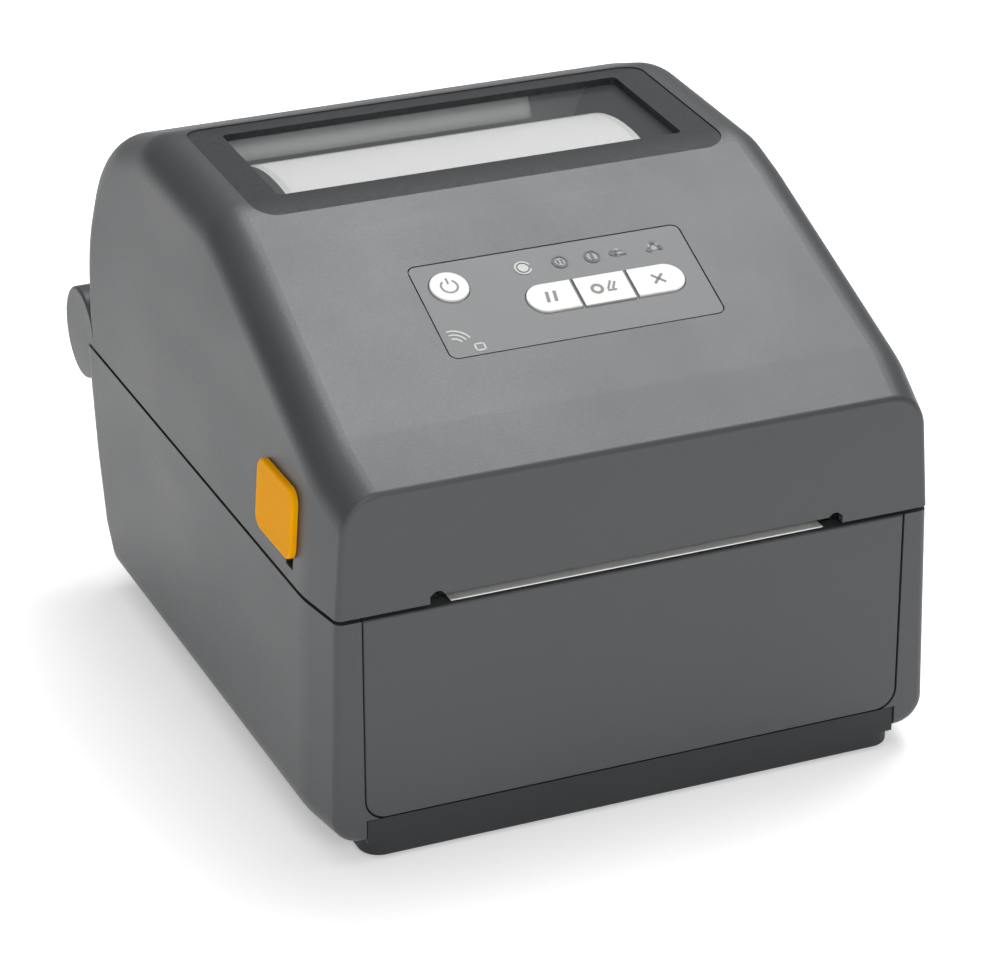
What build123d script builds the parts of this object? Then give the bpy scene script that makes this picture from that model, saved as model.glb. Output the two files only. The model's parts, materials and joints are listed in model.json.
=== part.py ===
"""Four-inch desktop thermal label printer, as an assembly of separate pieces.

The frame: origin at the centre of the footprint on the table, +Z up, the paper leaves towards -Y.
Lengths are in millimetres.
"""

from build123d import *
import math
import os

os.makedirs("parts", exist_ok=True)

# ---------------------------------------------------------------- driving dimensions
WIDTH = 177.0
LENGTH = 221.0
HEIGHT = 151.0
HALF_W = WIDTH / 2
FRONT_Y = -LENGTH / 2
WALL = 2.4
FIT = 0.3

# the line where the cover meets the base
BASE_TOP = 72.2
COVER_BOTTOM = 73.4

# the hinge at the rear
EAR_R = 14.0
HINGE_Y = LENGTH / 2 - EAR_R
HINGE_Z = 72.3
EAR_IN_X = 80.0
EAR_OUT_X = 88.0
KNUCKLE_IN_X = 66.0
KNUCKLE_OUT_X = 79.4
KNUCKLE_R = 8.0
HINGE_PIN_R = 3.0

# base shell
BASE_FLOOR = 6.4
BASE_FRONT_WALL = 5.0
BASE_SIDE_DRAFT = -1.5
FACET_START_Y = -93.0
FACET_INSET = 2.7
BASE_EDGE_R = 8.0
FRONT_CORNER_R = 2.6

# how softly the side outline of the base turns at each corner, as (y, radius)
BASE_BENDS = ((69.5, 8.0), (78.5, 12.0), (86.0, 40.0), (91.3, 60.0))

# cover shell
COVER_LEAN = 4.0
COVER_EDGE_R = 11.0
CREASE_Z = 107.5
BAND_Y, BAND_Z = -93.0, 115.8
SLOPE_END_Y, SLOPE_END_Z = -27.0, 144.2
FLAT_START_Y, FLAT_START_Z = -12.0, 149.2
FLAT_END_Y = 46.0
BACK_TOP_Y, BACK_TOP_Z = 86.0, 137.5
BACK_Y, BACK_Z = 98.0, 103.0
# how softly the side outline of the cover turns at each corner, as (y, radius)
COVER_BENDS = (
    (BAND_Y, 30.0),
    (SLOPE_END_Y, 40.0),
    (FLAT_START_Y, 30.0),
    (FLAT_END_Y, 34.0),
    (BACK_TOP_Y, 38.0),
    (BACK_Y, 45.0),
)

# paper and roll
MEDIA_W = 108.0
ROLL_R = 63.5
ROLL_Y, ROLL_Z = 17.0, 81.0
CORE_R, CORE_BORE_R = 15.0, 12.7
WEB_T = 0.3
PLATEN_Y, PLATEN_Z = -92.0, 66.0
PLATEN_R, SHAFT_R = 7.0, 3.0
WEB_Z = PLATEN_Z + PLATEN_R + FIT
SLOT_HALF_W = 59.9
SLOT_END_R = 2.2
# the fixed bar under the cover that turns the paper down to the platen
BAR_R = 4.0
BAR_Y = -76.0
BAR_Z = WEB_Z + WEB_T / 2 + FIT + BAR_R

# gears
MODULE = 0.8
MOTOR_Y, MOTOR_Z = -70.0, 34.0
PINION_TEETH, IDLER_TEETH, PLATEN_TEETH = 15, 32, 24
GEAR_X, GEAR_W = 63.5, 5.0
PLATE_X, PLATE_T = 60.0, 2.0

# controls, along the sloping face from its lower edge
OVERLAY_X0, OVERLAY_X1 = -38.2, 41.6
OVERLAY_S0, OVERLAY_S1 = 20.6, 54.9
POWER_X, POWER_S, POWER_R = -29.4, 45.7, 5.5
PILL_X0, PILL_X1, PILL_S, PILL_H = -10.6, 35.7, 36.0, 10.4
PILL_CUTS = (4.05, 19.9)
PILL_GAP = 1.1
LENS_S = 48.3
LENS_X = (-6.9, 4.0, 13.5, 20.9, 31.7)
LENS_R = 1.5
BUTTON_PROUD = 0.5

# window in the top
WINDOW_X = 60.8
WINDOW_Y0, WINDOW_Y1 = -6.0, 39.5
SURROUND_X = 70.5
SURROUND_Y0, SURROUND_Y1 = -16.7, 47.0

# release latches
LATCH_Y, LATCH_Z = -74.3, 90.3
LATCH_L, LATCH_H, LATCH_CORNER_R = 26.5, 20.2, 4.2
LATCH_PROUD = 2.0

# media guides
GUIDE_T = 3.0
GUIDE_X = MEDIA_W / 2 + 0.5
TUB_R = 66.5
TUB_T = 2.0
TUB_X = 79.0
RACK_TEETH_PITCH = math.pi * MODULE
GUIDE_PINION_TEETH = 12
RACK_Z0, RACK_Z1 = 9.6, 11.8

YZ_LEFT = Plane.YZ.offset(-HALF_W - 10)
ACROSS = WIDTH + 20
slope_angle = math.degrees(math.atan2(SLOPE_END_Z - BAND_Z, SLOPE_END_Y - BAND_Y))
slope_plane = Plane(
    origin=(0, BAND_Y, BAND_Z),
    x_dir=(1, 0, 0),
    z_dir=(0, -math.sin(math.radians(slope_angle)), math.cos(math.radians(slope_angle))),
)


def write(piece, name):
    """Label a finished piece and write its file."""
    piece.part.label = name
    export_step(piece.part, f"parts/{name}.step")


def block(x0, x1, y0, y1, z0, z1, mode=Mode.ADD):
    """A rectangular block between two corners, added to the part being built."""
    with Locations(((x0 + x1) / 2, (y0 + y1) / 2, (z0 + z1) / 2)):
        Box(abs(x1 - x0), abs(y1 - y0), abs(z1 - z0), mode=mode)


def rod_x(x0, x1, y, z, radius, mode=Mode.ADD):
    """A round bar along X, added to the part being built."""
    with Locations(Location(((x0 + x1) / 2, y, z), (0, 90, 0))):
        Cylinder(radius, abs(x1 - x0), mode=mode)


def rod_z(x, y, z0, z1, radius, mode=Mode.ADD):
    """A round bar along Z, added to the part being built."""
    with Locations((x, y, (z0 + z1) / 2)):
        Cylinder(radius, z1 - z0, mode=mode)


def plan_outline(inset):
    """The footprint: straight sides whose front ends turn in slightly, left open past front and rear."""
    reach = 30.0
    turn = FACET_INSET / (FACET_START_Y - FRONT_Y)
    side = HALF_W - inset
    nose = side - turn * (FACET_START_Y - FRONT_Y + reach)
    with BuildLine() as outline:
        Polyline(
            (-side, LENGTH / 2 + reach),
            (-side, FACET_START_Y),
            (-nose, FRONT_Y - reach),
            (nose, FRONT_Y - reach),
            (side, FACET_START_Y),
            (side, LENGTH / 2 + reach),
            close=True,
        )
    make_face(outline.edges())


def cover_side_outline(front_y):
    """The cover seen from the side, with its lower band carried on down to front_y."""
    band_rise = (BAND_Z - CREASE_Z) / (BAND_Y - FRONT_Y)
    with BuildLine() as outline:
        Polyline(
            (front_y, COVER_BOTTOM - 12),
            (front_y, CREASE_Z - band_rise * (FRONT_Y - front_y)),
            (BAND_Y, BAND_Z),
            (SLOPE_END_Y, SLOPE_END_Z),
            (FLAT_START_Y, FLAT_START_Z),
            (FLAT_END_Y, HEIGHT + 0.2),
            (BACK_TOP_Y, BACK_TOP_Z),
            (BACK_Y, BACK_Z),
            (93.3, COVER_BOTTOM),
            (91.6, COVER_BOTTOM - 12),
            close=True,
        )
    make_face(outline.edges())


def base_side_outline():
    """The base seen from the side, its rear wall curving in towards the table."""
    with BuildLine() as outline:
        Polyline(
            (FRONT_Y - 30, BASE_TOP + 12),
            (FRONT_Y - 30, BASE_FLOOR),
            (69.5, BASE_FLOOR),
            (78.5, 17.0),
            (86.0, 38.0),
            (91.3, 60.0),
            (95.0, BASE_TOP + 12),
            close=True,
        )
    make_face(outline.edges())


def cover_form(inset):
    """The solid outer form of the cover, drawn in evenly by inset."""
    skirt = 12.0
    front = FRONT_Y + inset
    with BuildPart() as form:
        with BuildSketch(YZ_LEFT) as side:
            cover_side_outline(FRONT_Y - 25)
            for corner_y, radius in COVER_BENDS:
                fillet([v for v in side.vertices() if abs(v.X - corner_y) < 0.1], radius)
            if inset:
                offset(amount=-inset, kind=Kind.INTERSECTION, mode=Mode.REPLACE)
        extrude(amount=ACROSS)
        with BuildSketch(Plane.XY.offset(COVER_BOTTOM - skirt)) as plan:
            plan_outline(inset - skirt * math.tan(math.radians(COVER_LEAN)))
            fillet([v for v in plan.vertices() if abs(v.Y - FACET_START_Y) < 0.1], 40)
        extrude(amount=HEIGHT, taper=COVER_LEAN, mode=Mode.INTERSECT)
        outer = form.edges().filter_by(lambda e: abs(e.center().X) > 78 and e.center().Z > COVER_BOTTOM - 8)
        rims = outer.filter_by(lambda e: e.center().Y > FRONT_Y - 18)
        fillet(rims.filter_by(lambda e: e.center().Y > -85 or e.center().Z > 95), COVER_EDGE_R - inset)
        split(bisect_by=Plane(origin=(0, front, 0), z_dir=(0, 1, 0)), keep=Keep.TOP)
        face_edges = form.edges().filter_by(lambda e: abs(e.bounding_box().max.Y - front) < 0.01)
        fillet(face_edges.filter_by(lambda e: e.center().Z > COVER_BOTTOM - 8), 1.8 if not inset else 1.0)
        split(bisect_by=Plane.XY.offset(COVER_BOTTOM), keep=Keep.TOP)
    return form.part


def base_form(inset, front_inset):
    """The solid outer form of the base, drawn in by inset, and by front_inset at the front."""
    front = FRONT_Y + front_inset
    with BuildPart() as form:
        with BuildSketch(YZ_LEFT) as side:
            base_side_outline()
            for corner_y, radius in BASE_BENDS:
                fillet([v for v in side.vertices() if abs(v.X - corner_y) < 0.1], radius)
            if inset:
                offset(amount=-inset, kind=Kind.INTERSECTION, mode=Mode.REPLACE)
        extrude(amount=ACROSS)
        with BuildSketch(Plane.XY.offset(BASE_TOP)) as plan:
            plan_outline(inset)
            fillet([v for v in plan.vertices() if abs(v.Y - FACET_START_Y) < 0.1], 40)
        extrude(amount=-BASE_TOP, taper=BASE_SIDE_DRAFT, mode=Mode.INTERSECT)
        rims = form.edges().filter_by(lambda e: abs(e.center().X) > 78 and e.center().Y > FRONT_Y - 28)
        low = rims.filter_by(lambda e: e.center().Z < BASE_FLOOR + inset + 0.6)
        rear = rims.filter_by(lambda e: e.center().Y > 60 and e.center().Z < BASE_TOP - 0.5)
        fillet(low.filter_by(lambda e: e.center().Y <= 60) + rear, BASE_EDGE_R - inset)
        split(bisect_by=Plane(origin=(0, front, 0), z_dir=(0, 1, 0)), keep=Keep.TOP)
        face_edges = form.edges().filter_by(lambda e: abs(e.bounding_box().max.Y - front) < 0.01)
        corner_r = 1.0 if inset else FRONT_CORNER_R
        fillet(face_edges.filter_by(lambda e: e.center().Z < BASE_TOP - 1), corner_r)
    return form.part


def prism_in_yz(points, x0, x1, mode=Mode.ADD):
    """A straight bar along X whose section is the polygon through (y, z) points."""
    with BuildLine() as outline:
        Polyline(*points, close=True)
    with BuildSketch(Plane.YZ.offset(x0)) as section:
        make_face(outline.edges())
    extrude(section.sketch, amount=x1 - x0, mode=mode)


def gear_face(teeth, bore_r, phase):
    """A spur gear's face with straight-flanked teeth and running backlash, phase in degrees."""
    pitch_r = MODULE * teeth / 2
    tip_r = pitch_r + 0.8 * MODULE
    root_r = pitch_r - 1.2 * MODULE
    half_root = 0.36 * math.pi * MODULE
    half_tip = 0.15 * math.pi * MODULE
    with BuildLine() as tooth:
        Polyline(
            (root_r - 0.4, -half_root),
            (tip_r, -half_tip),
            (tip_r, half_tip),
            (root_r - 0.4, half_root),
            close=True,
        )
    with BuildSketch() as face:
        Circle(root_r)
        with PolarLocations(0, teeth, start_angle=phase):
            add(make_face(tooth.edges(), mode=Mode.PRIVATE))
        Circle(bore_r, mode=Mode.SUBTRACT)
    return face.sketch


def gear_plane(x, y, z):
    """A plane at x across the X axis, its own x along +Y, centred on (y, z)."""
    return Plane(origin=(x, y, z), x_dir=(0, 1, 0), z_dir=(1, 0, 0))


def meshed_phase(teeth_a, phase_a, teeth_b, direction):
    """Phase that puts a gap of gear b on the tooth of gear a that lies nearest to direction."""
    step_a = 360 / teeth_a
    step_b = 360 / teeth_b
    tooth = phase_a + round((direction - phase_a) / step_a) * step_a
    return direction + 180 - (tooth - direction) * teeth_a / teeth_b + step_b / 2


def meeting_point(ay, az, reach_a, by, bz, reach_b):
    """The point reach_a from a and reach_b from b, on the side away from the front."""
    span = math.hypot(by - ay, bz - az)
    along = (reach_a**2 - reach_b**2 + span**2) / (2 * span)
    out = math.sqrt(reach_a**2 - along**2)
    uy, uz = (by - ay) / span, (bz - az) / span
    return ay + along * uy + out * uz, az + along * uz - out * uy


def bearing_angle(ay, az, by, bz):
    """Direction from a to b in degrees, from +Y towards +Z."""
    return math.degrees(math.atan2(bz - az, by - ay))


cover_outer = cover_form(0)
cover_inner = cover_form(WALL)
base_outer = base_form(0, 0)
base_inner = base_form(WALL, BASE_FRONT_WALL)

# ---------------------------------------------------------------- base
BEZEL_X, BEZEL_T, BEZEL_CORNER_R = 78.6, 2.2, 6.0
BEZEL_Z0, BEZEL_GAP = 13.0, 0.4
# the part of the plinth that rises in front of the base, under the bezel
APRON_X, APRON_TOP = 78.2, 12.6
PORT_X, PORT_TOP = 62.0, 33.0
PORT_BASE_Z = 14.4
PORT_PLATE_Y, PORT_PLATE_T = 71.0, 1.8
FOOT_X, FOOT_R = 62.0, 7.0
FOOT_Y = (-90.0, 48.0)
SCREW_X, SCREW_Y = 68.0, (-70.0, 30.0)


def bezel_prism(grow, y0, top, mode=Mode.ADD):
    """The bezel's outline, grown all round, carried from y0 back to its seat."""
    seat_y = FRONT_Y + BEZEL_T
    z0 = BEZEL_Z0 - grow
    with BuildPart(mode=Mode.PRIVATE) as plate:
        block(-BEZEL_X - grow, BEZEL_X + grow, y0, seat_y, z0, top)
        low = plate.edges().filter_by(Axis.Y).filter_by(lambda e: e.center().Z < z0 + 0.1)
        fillet(low, BEZEL_CORNER_R + grow)
    add(plate.part, mode=mode)


with BuildPart() as base_shell:
    add(base_outer)
    add(base_inner, mode=Mode.SUBTRACT)
    for side in (-1, 1):
        rod_x(side * EAR_IN_X, side * EAR_OUT_X, HINGE_Y, HINGE_Z, EAR_R)
    edges = base_shell.edges().filter_by(GeomType.CIRCLE).filter_by(lambda e: abs(e.radius - EAR_R) < 0.01)
    fillet(edges.filter_by(lambda e: abs(abs(e.center().X) - EAR_OUT_X) < 0.1), 1.0)
    for side in (-1, 1):
        rod_x(side * (KNUCKLE_IN_X - 0.6), side * EAR_IN_X, HINGE_Y, HINGE_Z, KNUCKLE_R + 0.6, Mode.SUBTRACT)
        rod_x(side * 79, side * 86, HINGE_Y, HINGE_Z, HINGE_PIN_R, Mode.SUBTRACT)
    bezel_prism(BEZEL_GAP, FRONT_Y - 1, BASE_TOP + 1, Mode.SUBTRACT)
    notch_x = APRON_X + BEZEL_GAP
    block(-notch_x, notch_x, FRONT_Y - 1, FRONT_Y + BEZEL_T, 0, APRON_TOP + BEZEL_GAP, Mode.SUBTRACT)
    block(-PORT_X + 2, PORT_X - 2, PORT_PLATE_Y + 2, HINGE_Y, PORT_BASE_Z, PORT_TOP, Mode.SUBTRACT)
    with Locations(*[(x, y, BASE_FLOOR + 3.0) for x in (-SCREW_X, SCREW_X) for y in SCREW_Y]):
        Cylinder(3.2, 6.0)
        Cylinder(1.5, 8.0, mode=Mode.SUBTRACT)

with BuildPart() as front_bezel:
    bezel_prism(0, FRONT_Y, BASE_TOP)
    fillet(front_bezel.faces().sort_by(Axis.Y)[0].edges(), 0.6)

PLINTH_X, PLINTH_Y0, PLINTH_Y1, PLINTH_Z = 78.8, -110.1, 64.0, 1.0
PLINTH_WALL, PLINTH_FLOOR = 2.5, 2.2
BOSS_R, SCREW_HOLE_R, SCREW_RECESS_R = 4.6, 1.6, 3.2
screw_places = [(x, y) for x in (-SCREW_X, SCREW_X) for y in SCREW_Y]
foot_places = [(x, y) for x in (-FOOT_X, FOOT_X) for y in FOOT_Y]
with BuildPart() as bottom_plinth:
    block(-PLINTH_X, PLINTH_X, PLINTH_Y0, PLINTH_Y1, PLINTH_Z, BASE_FLOOR)
    fillet(bottom_plinth.edges().filter_by(Axis.Z), 6.0)
    fillet(bottom_plinth.faces().sort_by(Axis.Z)[0].edges(), 0.8)
    block(
        -PLINTH_X + PLINTH_WALL,
        PLINTH_X - PLINTH_WALL,
        PLINTH_Y0 + PLINTH_WALL,
        PLINTH_Y1 - PLINTH_WALL,
        PLINTH_Z + PLINTH_FLOOR,
        BASE_FLOOR + 1,
        Mode.SUBTRACT,
    )
    block(-APRON_X, APRON_X, PLINTH_Y0, FRONT_Y + BEZEL_T, BASE_FLOOR - 1, APRON_TOP)
    for x, y in foot_places:
        rod_z(x, y, PLINTH_Z - 0.2, PLINTH_Z + 1.2, FOOT_R + 0.2, Mode.SUBTRACT)
    for x, y in screw_places:
        rod_z(x, y, PLINTH_Z + 0.2, BASE_FLOOR, BOSS_R)
        rod_z(x, y, 0, BASE_FLOOR + 1, SCREW_HOLE_R, Mode.SUBTRACT)
        rod_z(x, y, 0, PLINTH_Z + 2.1, SCREW_RECESS_R, Mode.SUBTRACT)

with BuildPart() as rubber_feet:
    for x, y in foot_places:
        rod_z(x, y, 0, PLINTH_Z + 1.2, FOOT_R)

SCREW_R, SCREW_HEAD_R = 1.45, 2.8
with BuildPart() as base_screws:
    for x, y in screw_places:
        rod_z(x, y, PLINTH_Z + 0.3, PLINTH_Z + 2.1, SCREW_HEAD_R)
        rod_z(x, y, PLINTH_Z + 2.1, BASE_FLOOR + 3.6, SCREW_R)

with BuildPart() as hinge_pins:
    for side in (-1, 1):
        rod_x(side * (KNUCKLE_IN_X + 1), side * 85.9, HINGE_Y, HINGE_Z, HINGE_PIN_R - 0.02)

tub_lip_y = ROLL_Y - math.sqrt(TUB_R**2 - (BASE_TOP - ROLL_Z) ** 2)
DECK_Z = 70.6
with BuildPart() as media_tub:
    rod_x(-TUB_X, TUB_X, ROLL_Y, ROLL_Z, TUB_R + TUB_T)
    rod_x(-TUB_X - 1, TUB_X + 1, ROLL_Y, ROLL_Z, TUB_R, Mode.SUBTRACT)
    split(bisect_by=Plane.XY.offset(BASE_TOP - 0.4), keep=Keep.BOTTOM)
    block(-59, 59, PLATEN_Y + 9.5, tub_lip_y - 0.3, DECK_Z - 2, DECK_Z)
    block(-50, 50, -80, -72, DECK_Z - 3, DECK_Z + 1, Mode.SUBTRACT)
    for side, y in ((-1, ROLL_Y - 7.2), (1, ROLL_Y + 7.2)):
        block(min(side * 50, side * 76), max(side * 50, side * 76), y - 2.2, y + 2.2, 10, 20, Mode.SUBTRACT)

BOARD_T = 1.6
MAIN_BOARD_Z = 9.8
MAIN_BOARD_TOP = MAIN_BOARD_Z + BOARD_T
STANDOFF_R = 2.0
FLOOR_TOP = BASE_FLOOR + WALL
# the chips on the main board, as (x, y, length, width, thickness)
CHIPS = ((-47, -53, 14, 14, 2), (-28, -53, 14, 14, 2), (-7, -71, 26, 26, 2.6))
with BuildPart() as main_board:
    block(-58, 36, -100, -8, MAIN_BOARD_Z, MAIN_BOARD_TOP)
    for chip_x, chip_y, chip_l, chip_w, chip_t in CHIPS:
        block(
            chip_x - chip_l / 2,
            chip_x + chip_l / 2,
            chip_y - chip_w / 2,
            chip_y + chip_w / 2,
            MAIN_BOARD_TOP,
            MAIN_BOARD_TOP + chip_t,
        )
    for capacitor_x in (12, 22, 32):
        rod_z(capacitor_x, -60, MAIN_BOARD_TOP, 20, 4.0)
    block(-56, -46, -98, -84, MAIN_BOARD_TOP, 16)
    for standoff_x in (-50, 30):
        rod_z(standoff_x, -95, FLOOR_TOP, MAIN_BOARD_Z, STANDOFF_R)

PORT_BOARD_Y0, PORT_BOARD_Y1 = 42.0, 66.0
PORT_BOARD_Z = PORT_BASE_Z - BOARD_T
with BuildPart() as port_board:
    block(-56, 56, PORT_BOARD_Y0, PORT_BOARD_Y1, PORT_BOARD_Z, PORT_BASE_Z)
    for standoff_x in (-50, 50):
        rod_z(standoff_x, 62, FLOOR_TOP, PORT_BOARD_Z, STANDOFF_R)

RIBBON_T = 0.4
RIBBON_X0, RIBBON_X1, RIBBON_Z = 20.0, 38.0, 9.0
with BuildPart() as board_ribbon:
    block(RIBBON_X0, RIBBON_X1, -16, PORT_BOARD_Y0 + 2, RIBBON_Z, RIBBON_Z + RIBBON_T)
    block(RIBBON_X0, RIBBON_X1, -16, -12, RIBBON_Z, MAIN_BOARD_Z)
    block(RIBBON_X0, RIBBON_X1, PORT_BOARD_Y0 + 2 - RIBBON_T, PORT_BOARD_Y0 + 2, RIBBON_Z, PORT_BOARD_Z)

# each socket on the rear edge, as centre, half width and height
DC_X, DC_HALF_W, DC_H = -44.0, 6.0, 12.0
USB_B_X, USB_B_HALF_W, USB_B_H = -18.0, 6.0, 11.0
USB_A_X, USB_A_HALF_W, USB_A_H = 8.0, 7.2, 7.0
NET_X, NET_HALF_W, NET_H = 36.0, 8.0, 13.0
SOCKETS = (
    (DC_X, DC_HALF_W, DC_H),
    (USB_B_X, USB_B_HALF_W, USB_B_H),
    (USB_A_X, USB_A_HALF_W, USB_A_H),
    (NET_X, NET_HALF_W, NET_H),
)
SOCKET_GAP = 0.1
PORT_FRONT_Y = PORT_PLATE_Y + 2.0
with BuildPart() as rear_port_panel:
    block(-PORT_X, PORT_X, PORT_PLATE_Y, PORT_PLATE_Y + PORT_PLATE_T, PORT_BASE_Z, PORT_TOP + 2)
    for socket_x, half_w, height in SOCKETS:
        block(
            socket_x - half_w - SOCKET_GAP,
            socket_x + half_w + SOCKET_GAP,
            PORT_PLATE_Y - 1,
            PORT_PLATE_Y + PORT_PLATE_T + 1,
            PORT_BASE_Z - 1,
            PORT_BASE_Z + height + SOCKET_GAP,
            Mode.SUBTRACT,
        )

PLUG_BORE_R, PLUG_PIN_R, PLUG_DEPTH = 4.4, 1.1, 9.0
with BuildPart() as dc_inlet:
    block(DC_X - DC_HALF_W, DC_X + DC_HALF_W, 60, PORT_FRONT_Y, PORT_BASE_Z, PORT_BASE_Z + DC_H)
    with Locations(Location((DC_X, PORT_FRONT_Y - PLUG_DEPTH / 2, PORT_BASE_Z + DC_H / 2), (90, 0, 0))):
        Cylinder(PLUG_BORE_R, PLUG_DEPTH, mode=Mode.SUBTRACT)
    with Locations(Location((DC_X, PORT_FRONT_Y - PLUG_DEPTH / 2 - 1, PORT_BASE_Z + DC_H / 2), (90, 0, 0))):
        Cylinder(PLUG_PIN_R, PLUG_DEPTH)


def socket_shell(x, half_w, height, back_y, wall, floor, mouth_h):
    """A socket's box with its mouth cut from the rear, added to the part being built."""
    block(x - half_w, x + half_w, back_y, PORT_FRONT_Y, PORT_BASE_Z, PORT_BASE_Z + height)
    mouth_z = PORT_BASE_Z + floor
    inner = half_w - wall
    block(x - inner, x + inner, 63, PORT_FRONT_Y + 1, mouth_z, mouth_z + mouth_h, Mode.SUBTRACT)


with BuildPart() as usb_device_port:
    socket_shell(USB_B_X, USB_B_HALF_W, USB_B_H, 57, wall=1.7, floor=1.4, mouth_h=8.0)
    block(USB_B_X - 2.8, USB_B_X + 2.8, 62, PORT_FRONT_Y - 1, PORT_BASE_Z + 6.4, PORT_BASE_Z + 8.4)

with BuildPart() as usb_host_port:
    socket_shell(USB_A_X, USB_A_HALF_W, USB_A_H, 58, wall=0.9, floor=0.8, mouth_h=5.1)
    block(USB_A_X - 5.6, USB_A_X + 5.6, 62, PORT_FRONT_Y - 1, PORT_BASE_Z + 4.0, PORT_BASE_Z + 5.5)

with BuildPart() as network_port:
    socket_shell(NET_X, NET_HALF_W, NET_H, 61, wall=2.0, floor=2.6, mouth_h=8.0)

# ---------------------------------------------------------------- print drive
idler_reach = MODULE * (PINION_TEETH + IDLER_TEETH) / 2
platen_reach = MODULE * (IDLER_TEETH + PLATEN_TEETH) / 2
IDLER_Y, IDLER_Z = meeting_point(MOTOR_Y, MOTOR_Z, idler_reach, PLATEN_Y, PLATEN_Z, platen_reach)
pinion_phase = 0.0
idler_bearing = bearing_angle(MOTOR_Y, MOTOR_Z, IDLER_Y, IDLER_Z)
idler_phase = meshed_phase(PINION_TEETH, pinion_phase, IDLER_TEETH, idler_bearing)
platen_bearing = bearing_angle(IDLER_Y, IDLER_Z, PLATEN_Y, PLATEN_Z)
platen_phase = meshed_phase(IDLER_TEETH, idler_phase, PLATEN_TEETH, platen_bearing)

with BuildPart() as motor_pinion:
    with BuildSketch(gear_plane(GEAR_X, MOTOR_Y, MOTOR_Z)):
        add(gear_face(PINION_TEETH, 2.0, pinion_phase))
    extrude(amount=GEAR_W)
    rod_x(46, GEAR_X + GEAR_W + 1, MOTOR_Y, MOTOR_Z, 2.0)

with BuildPart() as idler_gear:
    with BuildSketch(gear_plane(GEAR_X, IDLER_Y, IDLER_Z)):
        add(gear_face(IDLER_TEETH, 2.55, idler_phase))
    extrude(amount=GEAR_W)

with BuildPart() as platen_gear:
    with BuildSketch(gear_plane(GEAR_X, PLATEN_Y, PLATEN_Z)):
        add(gear_face(PLATEN_TEETH, SHAFT_R, platen_phase))
    extrude(amount=GEAR_W)

SPINDLE_R = 2.5
with BuildPart() as gear_spindle:
    rod_x(PLATE_X, GEAR_X + GEAR_W + 1, IDLER_Y, IDLER_Z, SPINDLE_R)
    rod_x(GEAR_X + GEAR_W + 1, GEAR_X + GEAR_W + 2, IDLER_Y, IDLER_Z, SPINDLE_R + 1.5)

with BuildPart() as platen_roller:
    rod_x(-56, 56, PLATEN_Y, PLATEN_Z, PLATEN_R)
    rod_x(-57, 57, PLATEN_Y, PLATEN_Z, SHAFT_R, Mode.SUBTRACT)

with BuildPart() as platen_shaft:
    rod_x(-66, GEAR_X + GEAR_W + 1, PLATEN_Y, PLATEN_Z, SHAFT_R)

BUSH_R = 5.0
MOTOR_HOLE_R = 8.0
RAIL_Y, RAIL_Z, RAIL_R = -77.0, 62.0, 2.0
with BuildPart() as platen_bearings:
    for side in (-1, 1):
        rod_x(side * 58.4, side * 62.6, PLATEN_Y, PLATEN_Z, BUSH_R)
        rod_x(side * 57.4, side * 58.4, PLATEN_Y, PLATEN_Z, BUSH_R + 1.2)
        rod_x(side * 57, side * 63, PLATEN_Y, PLATEN_Z, SHAFT_R + 0.05, Mode.SUBTRACT)


def chassis_plate(side):
    """A steel side plate with an open-topped cradle for the platen bush; the right one carries the drive."""
    x0, x1 = sorted((side * PLATE_X, side * (PLATE_X + PLATE_T)))
    with BuildPart() as plate:
        prism_in_yz([(-104, 9), (-48, 9), (-48, 40), (-56, 70.5), (-104, 70.5)], x0, x1)
        block(x0 - 1, x1 + 1, PLATEN_Y - BUSH_R, PLATEN_Y + BUSH_R, PLATEN_Z, 80, Mode.SUBTRACT)
        rod_x(x0 - 1, x1 + 1, PLATEN_Y, PLATEN_Z, BUSH_R, Mode.SUBTRACT)
        if side > 0:
            rod_x(x0 - 1, x1 + 1, MOTOR_Y, MOTOR_Z, MOTOR_HOLE_R, Mode.SUBTRACT)
            rod_x(x0 - 1, x1 + 1, IDLER_Y, IDLER_Z, SPINDLE_R, Mode.SUBTRACT)
        rod_x(x0 - 1, x1 + 1, RAIL_Y, RAIL_Z, RAIL_R, Mode.SUBTRACT)
    return plate


left_chassis_plate = chassis_plate(-1)
right_chassis_plate = chassis_plate(1)

MOTOR_SIDE, MOTOR_REAR_X = 35.0, 38.0
with BuildPart() as stepper_motor:
    with Locations(((MOTOR_REAR_X + PLATE_X) / 2, MOTOR_Y, MOTOR_Z)):
        Box(PLATE_X - MOTOR_REAR_X, MOTOR_SIDE, MOTOR_SIDE)
    chamfer(stepper_motor.edges().filter_by(Axis.X), 3.5)
    rod_x(MOTOR_REAR_X + 2, PLATE_X + 1, MOTOR_Y, MOTOR_Z, 2.3, Mode.SUBTRACT)

TEAR_Y, TEAR_Z0, TEAR_Z1 = -103.2, 60.0, 72.6
TEAR_HALF_W, TEAR_T = 58.0, 1.2
TEAR_TEETH, TEAR_PITCH = 58, 2.0
with BuildPart() as tear_bar:
    block(-TEAR_HALF_W, TEAR_HALF_W, TEAR_Y - TEAR_T / 2, TEAR_Y + TEAR_T / 2, TEAR_Z0, TEAR_Z1)
    block(-TEAR_HALF_W, TEAR_HALF_W, TEAR_Y - TEAR_T / 2, TEAR_Y + 4, TEAR_Z0, TEAR_Z0 + TEAR_T)
    with GridLocations(TEAR_PITCH, 1, TEAR_TEETH, 1):
        with Locations((0, TEAR_Y, TEAR_Z1)):
            Box(0.9, 3, 1.2, rotation=(0, 45, 0), mode=Mode.SUBTRACT)

with BuildPart() as sensor_rail:
    rod_x(-PLATE_X - 1, PLATE_X + 1, RAIL_Y, RAIL_Z, RAIL_R)

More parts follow.
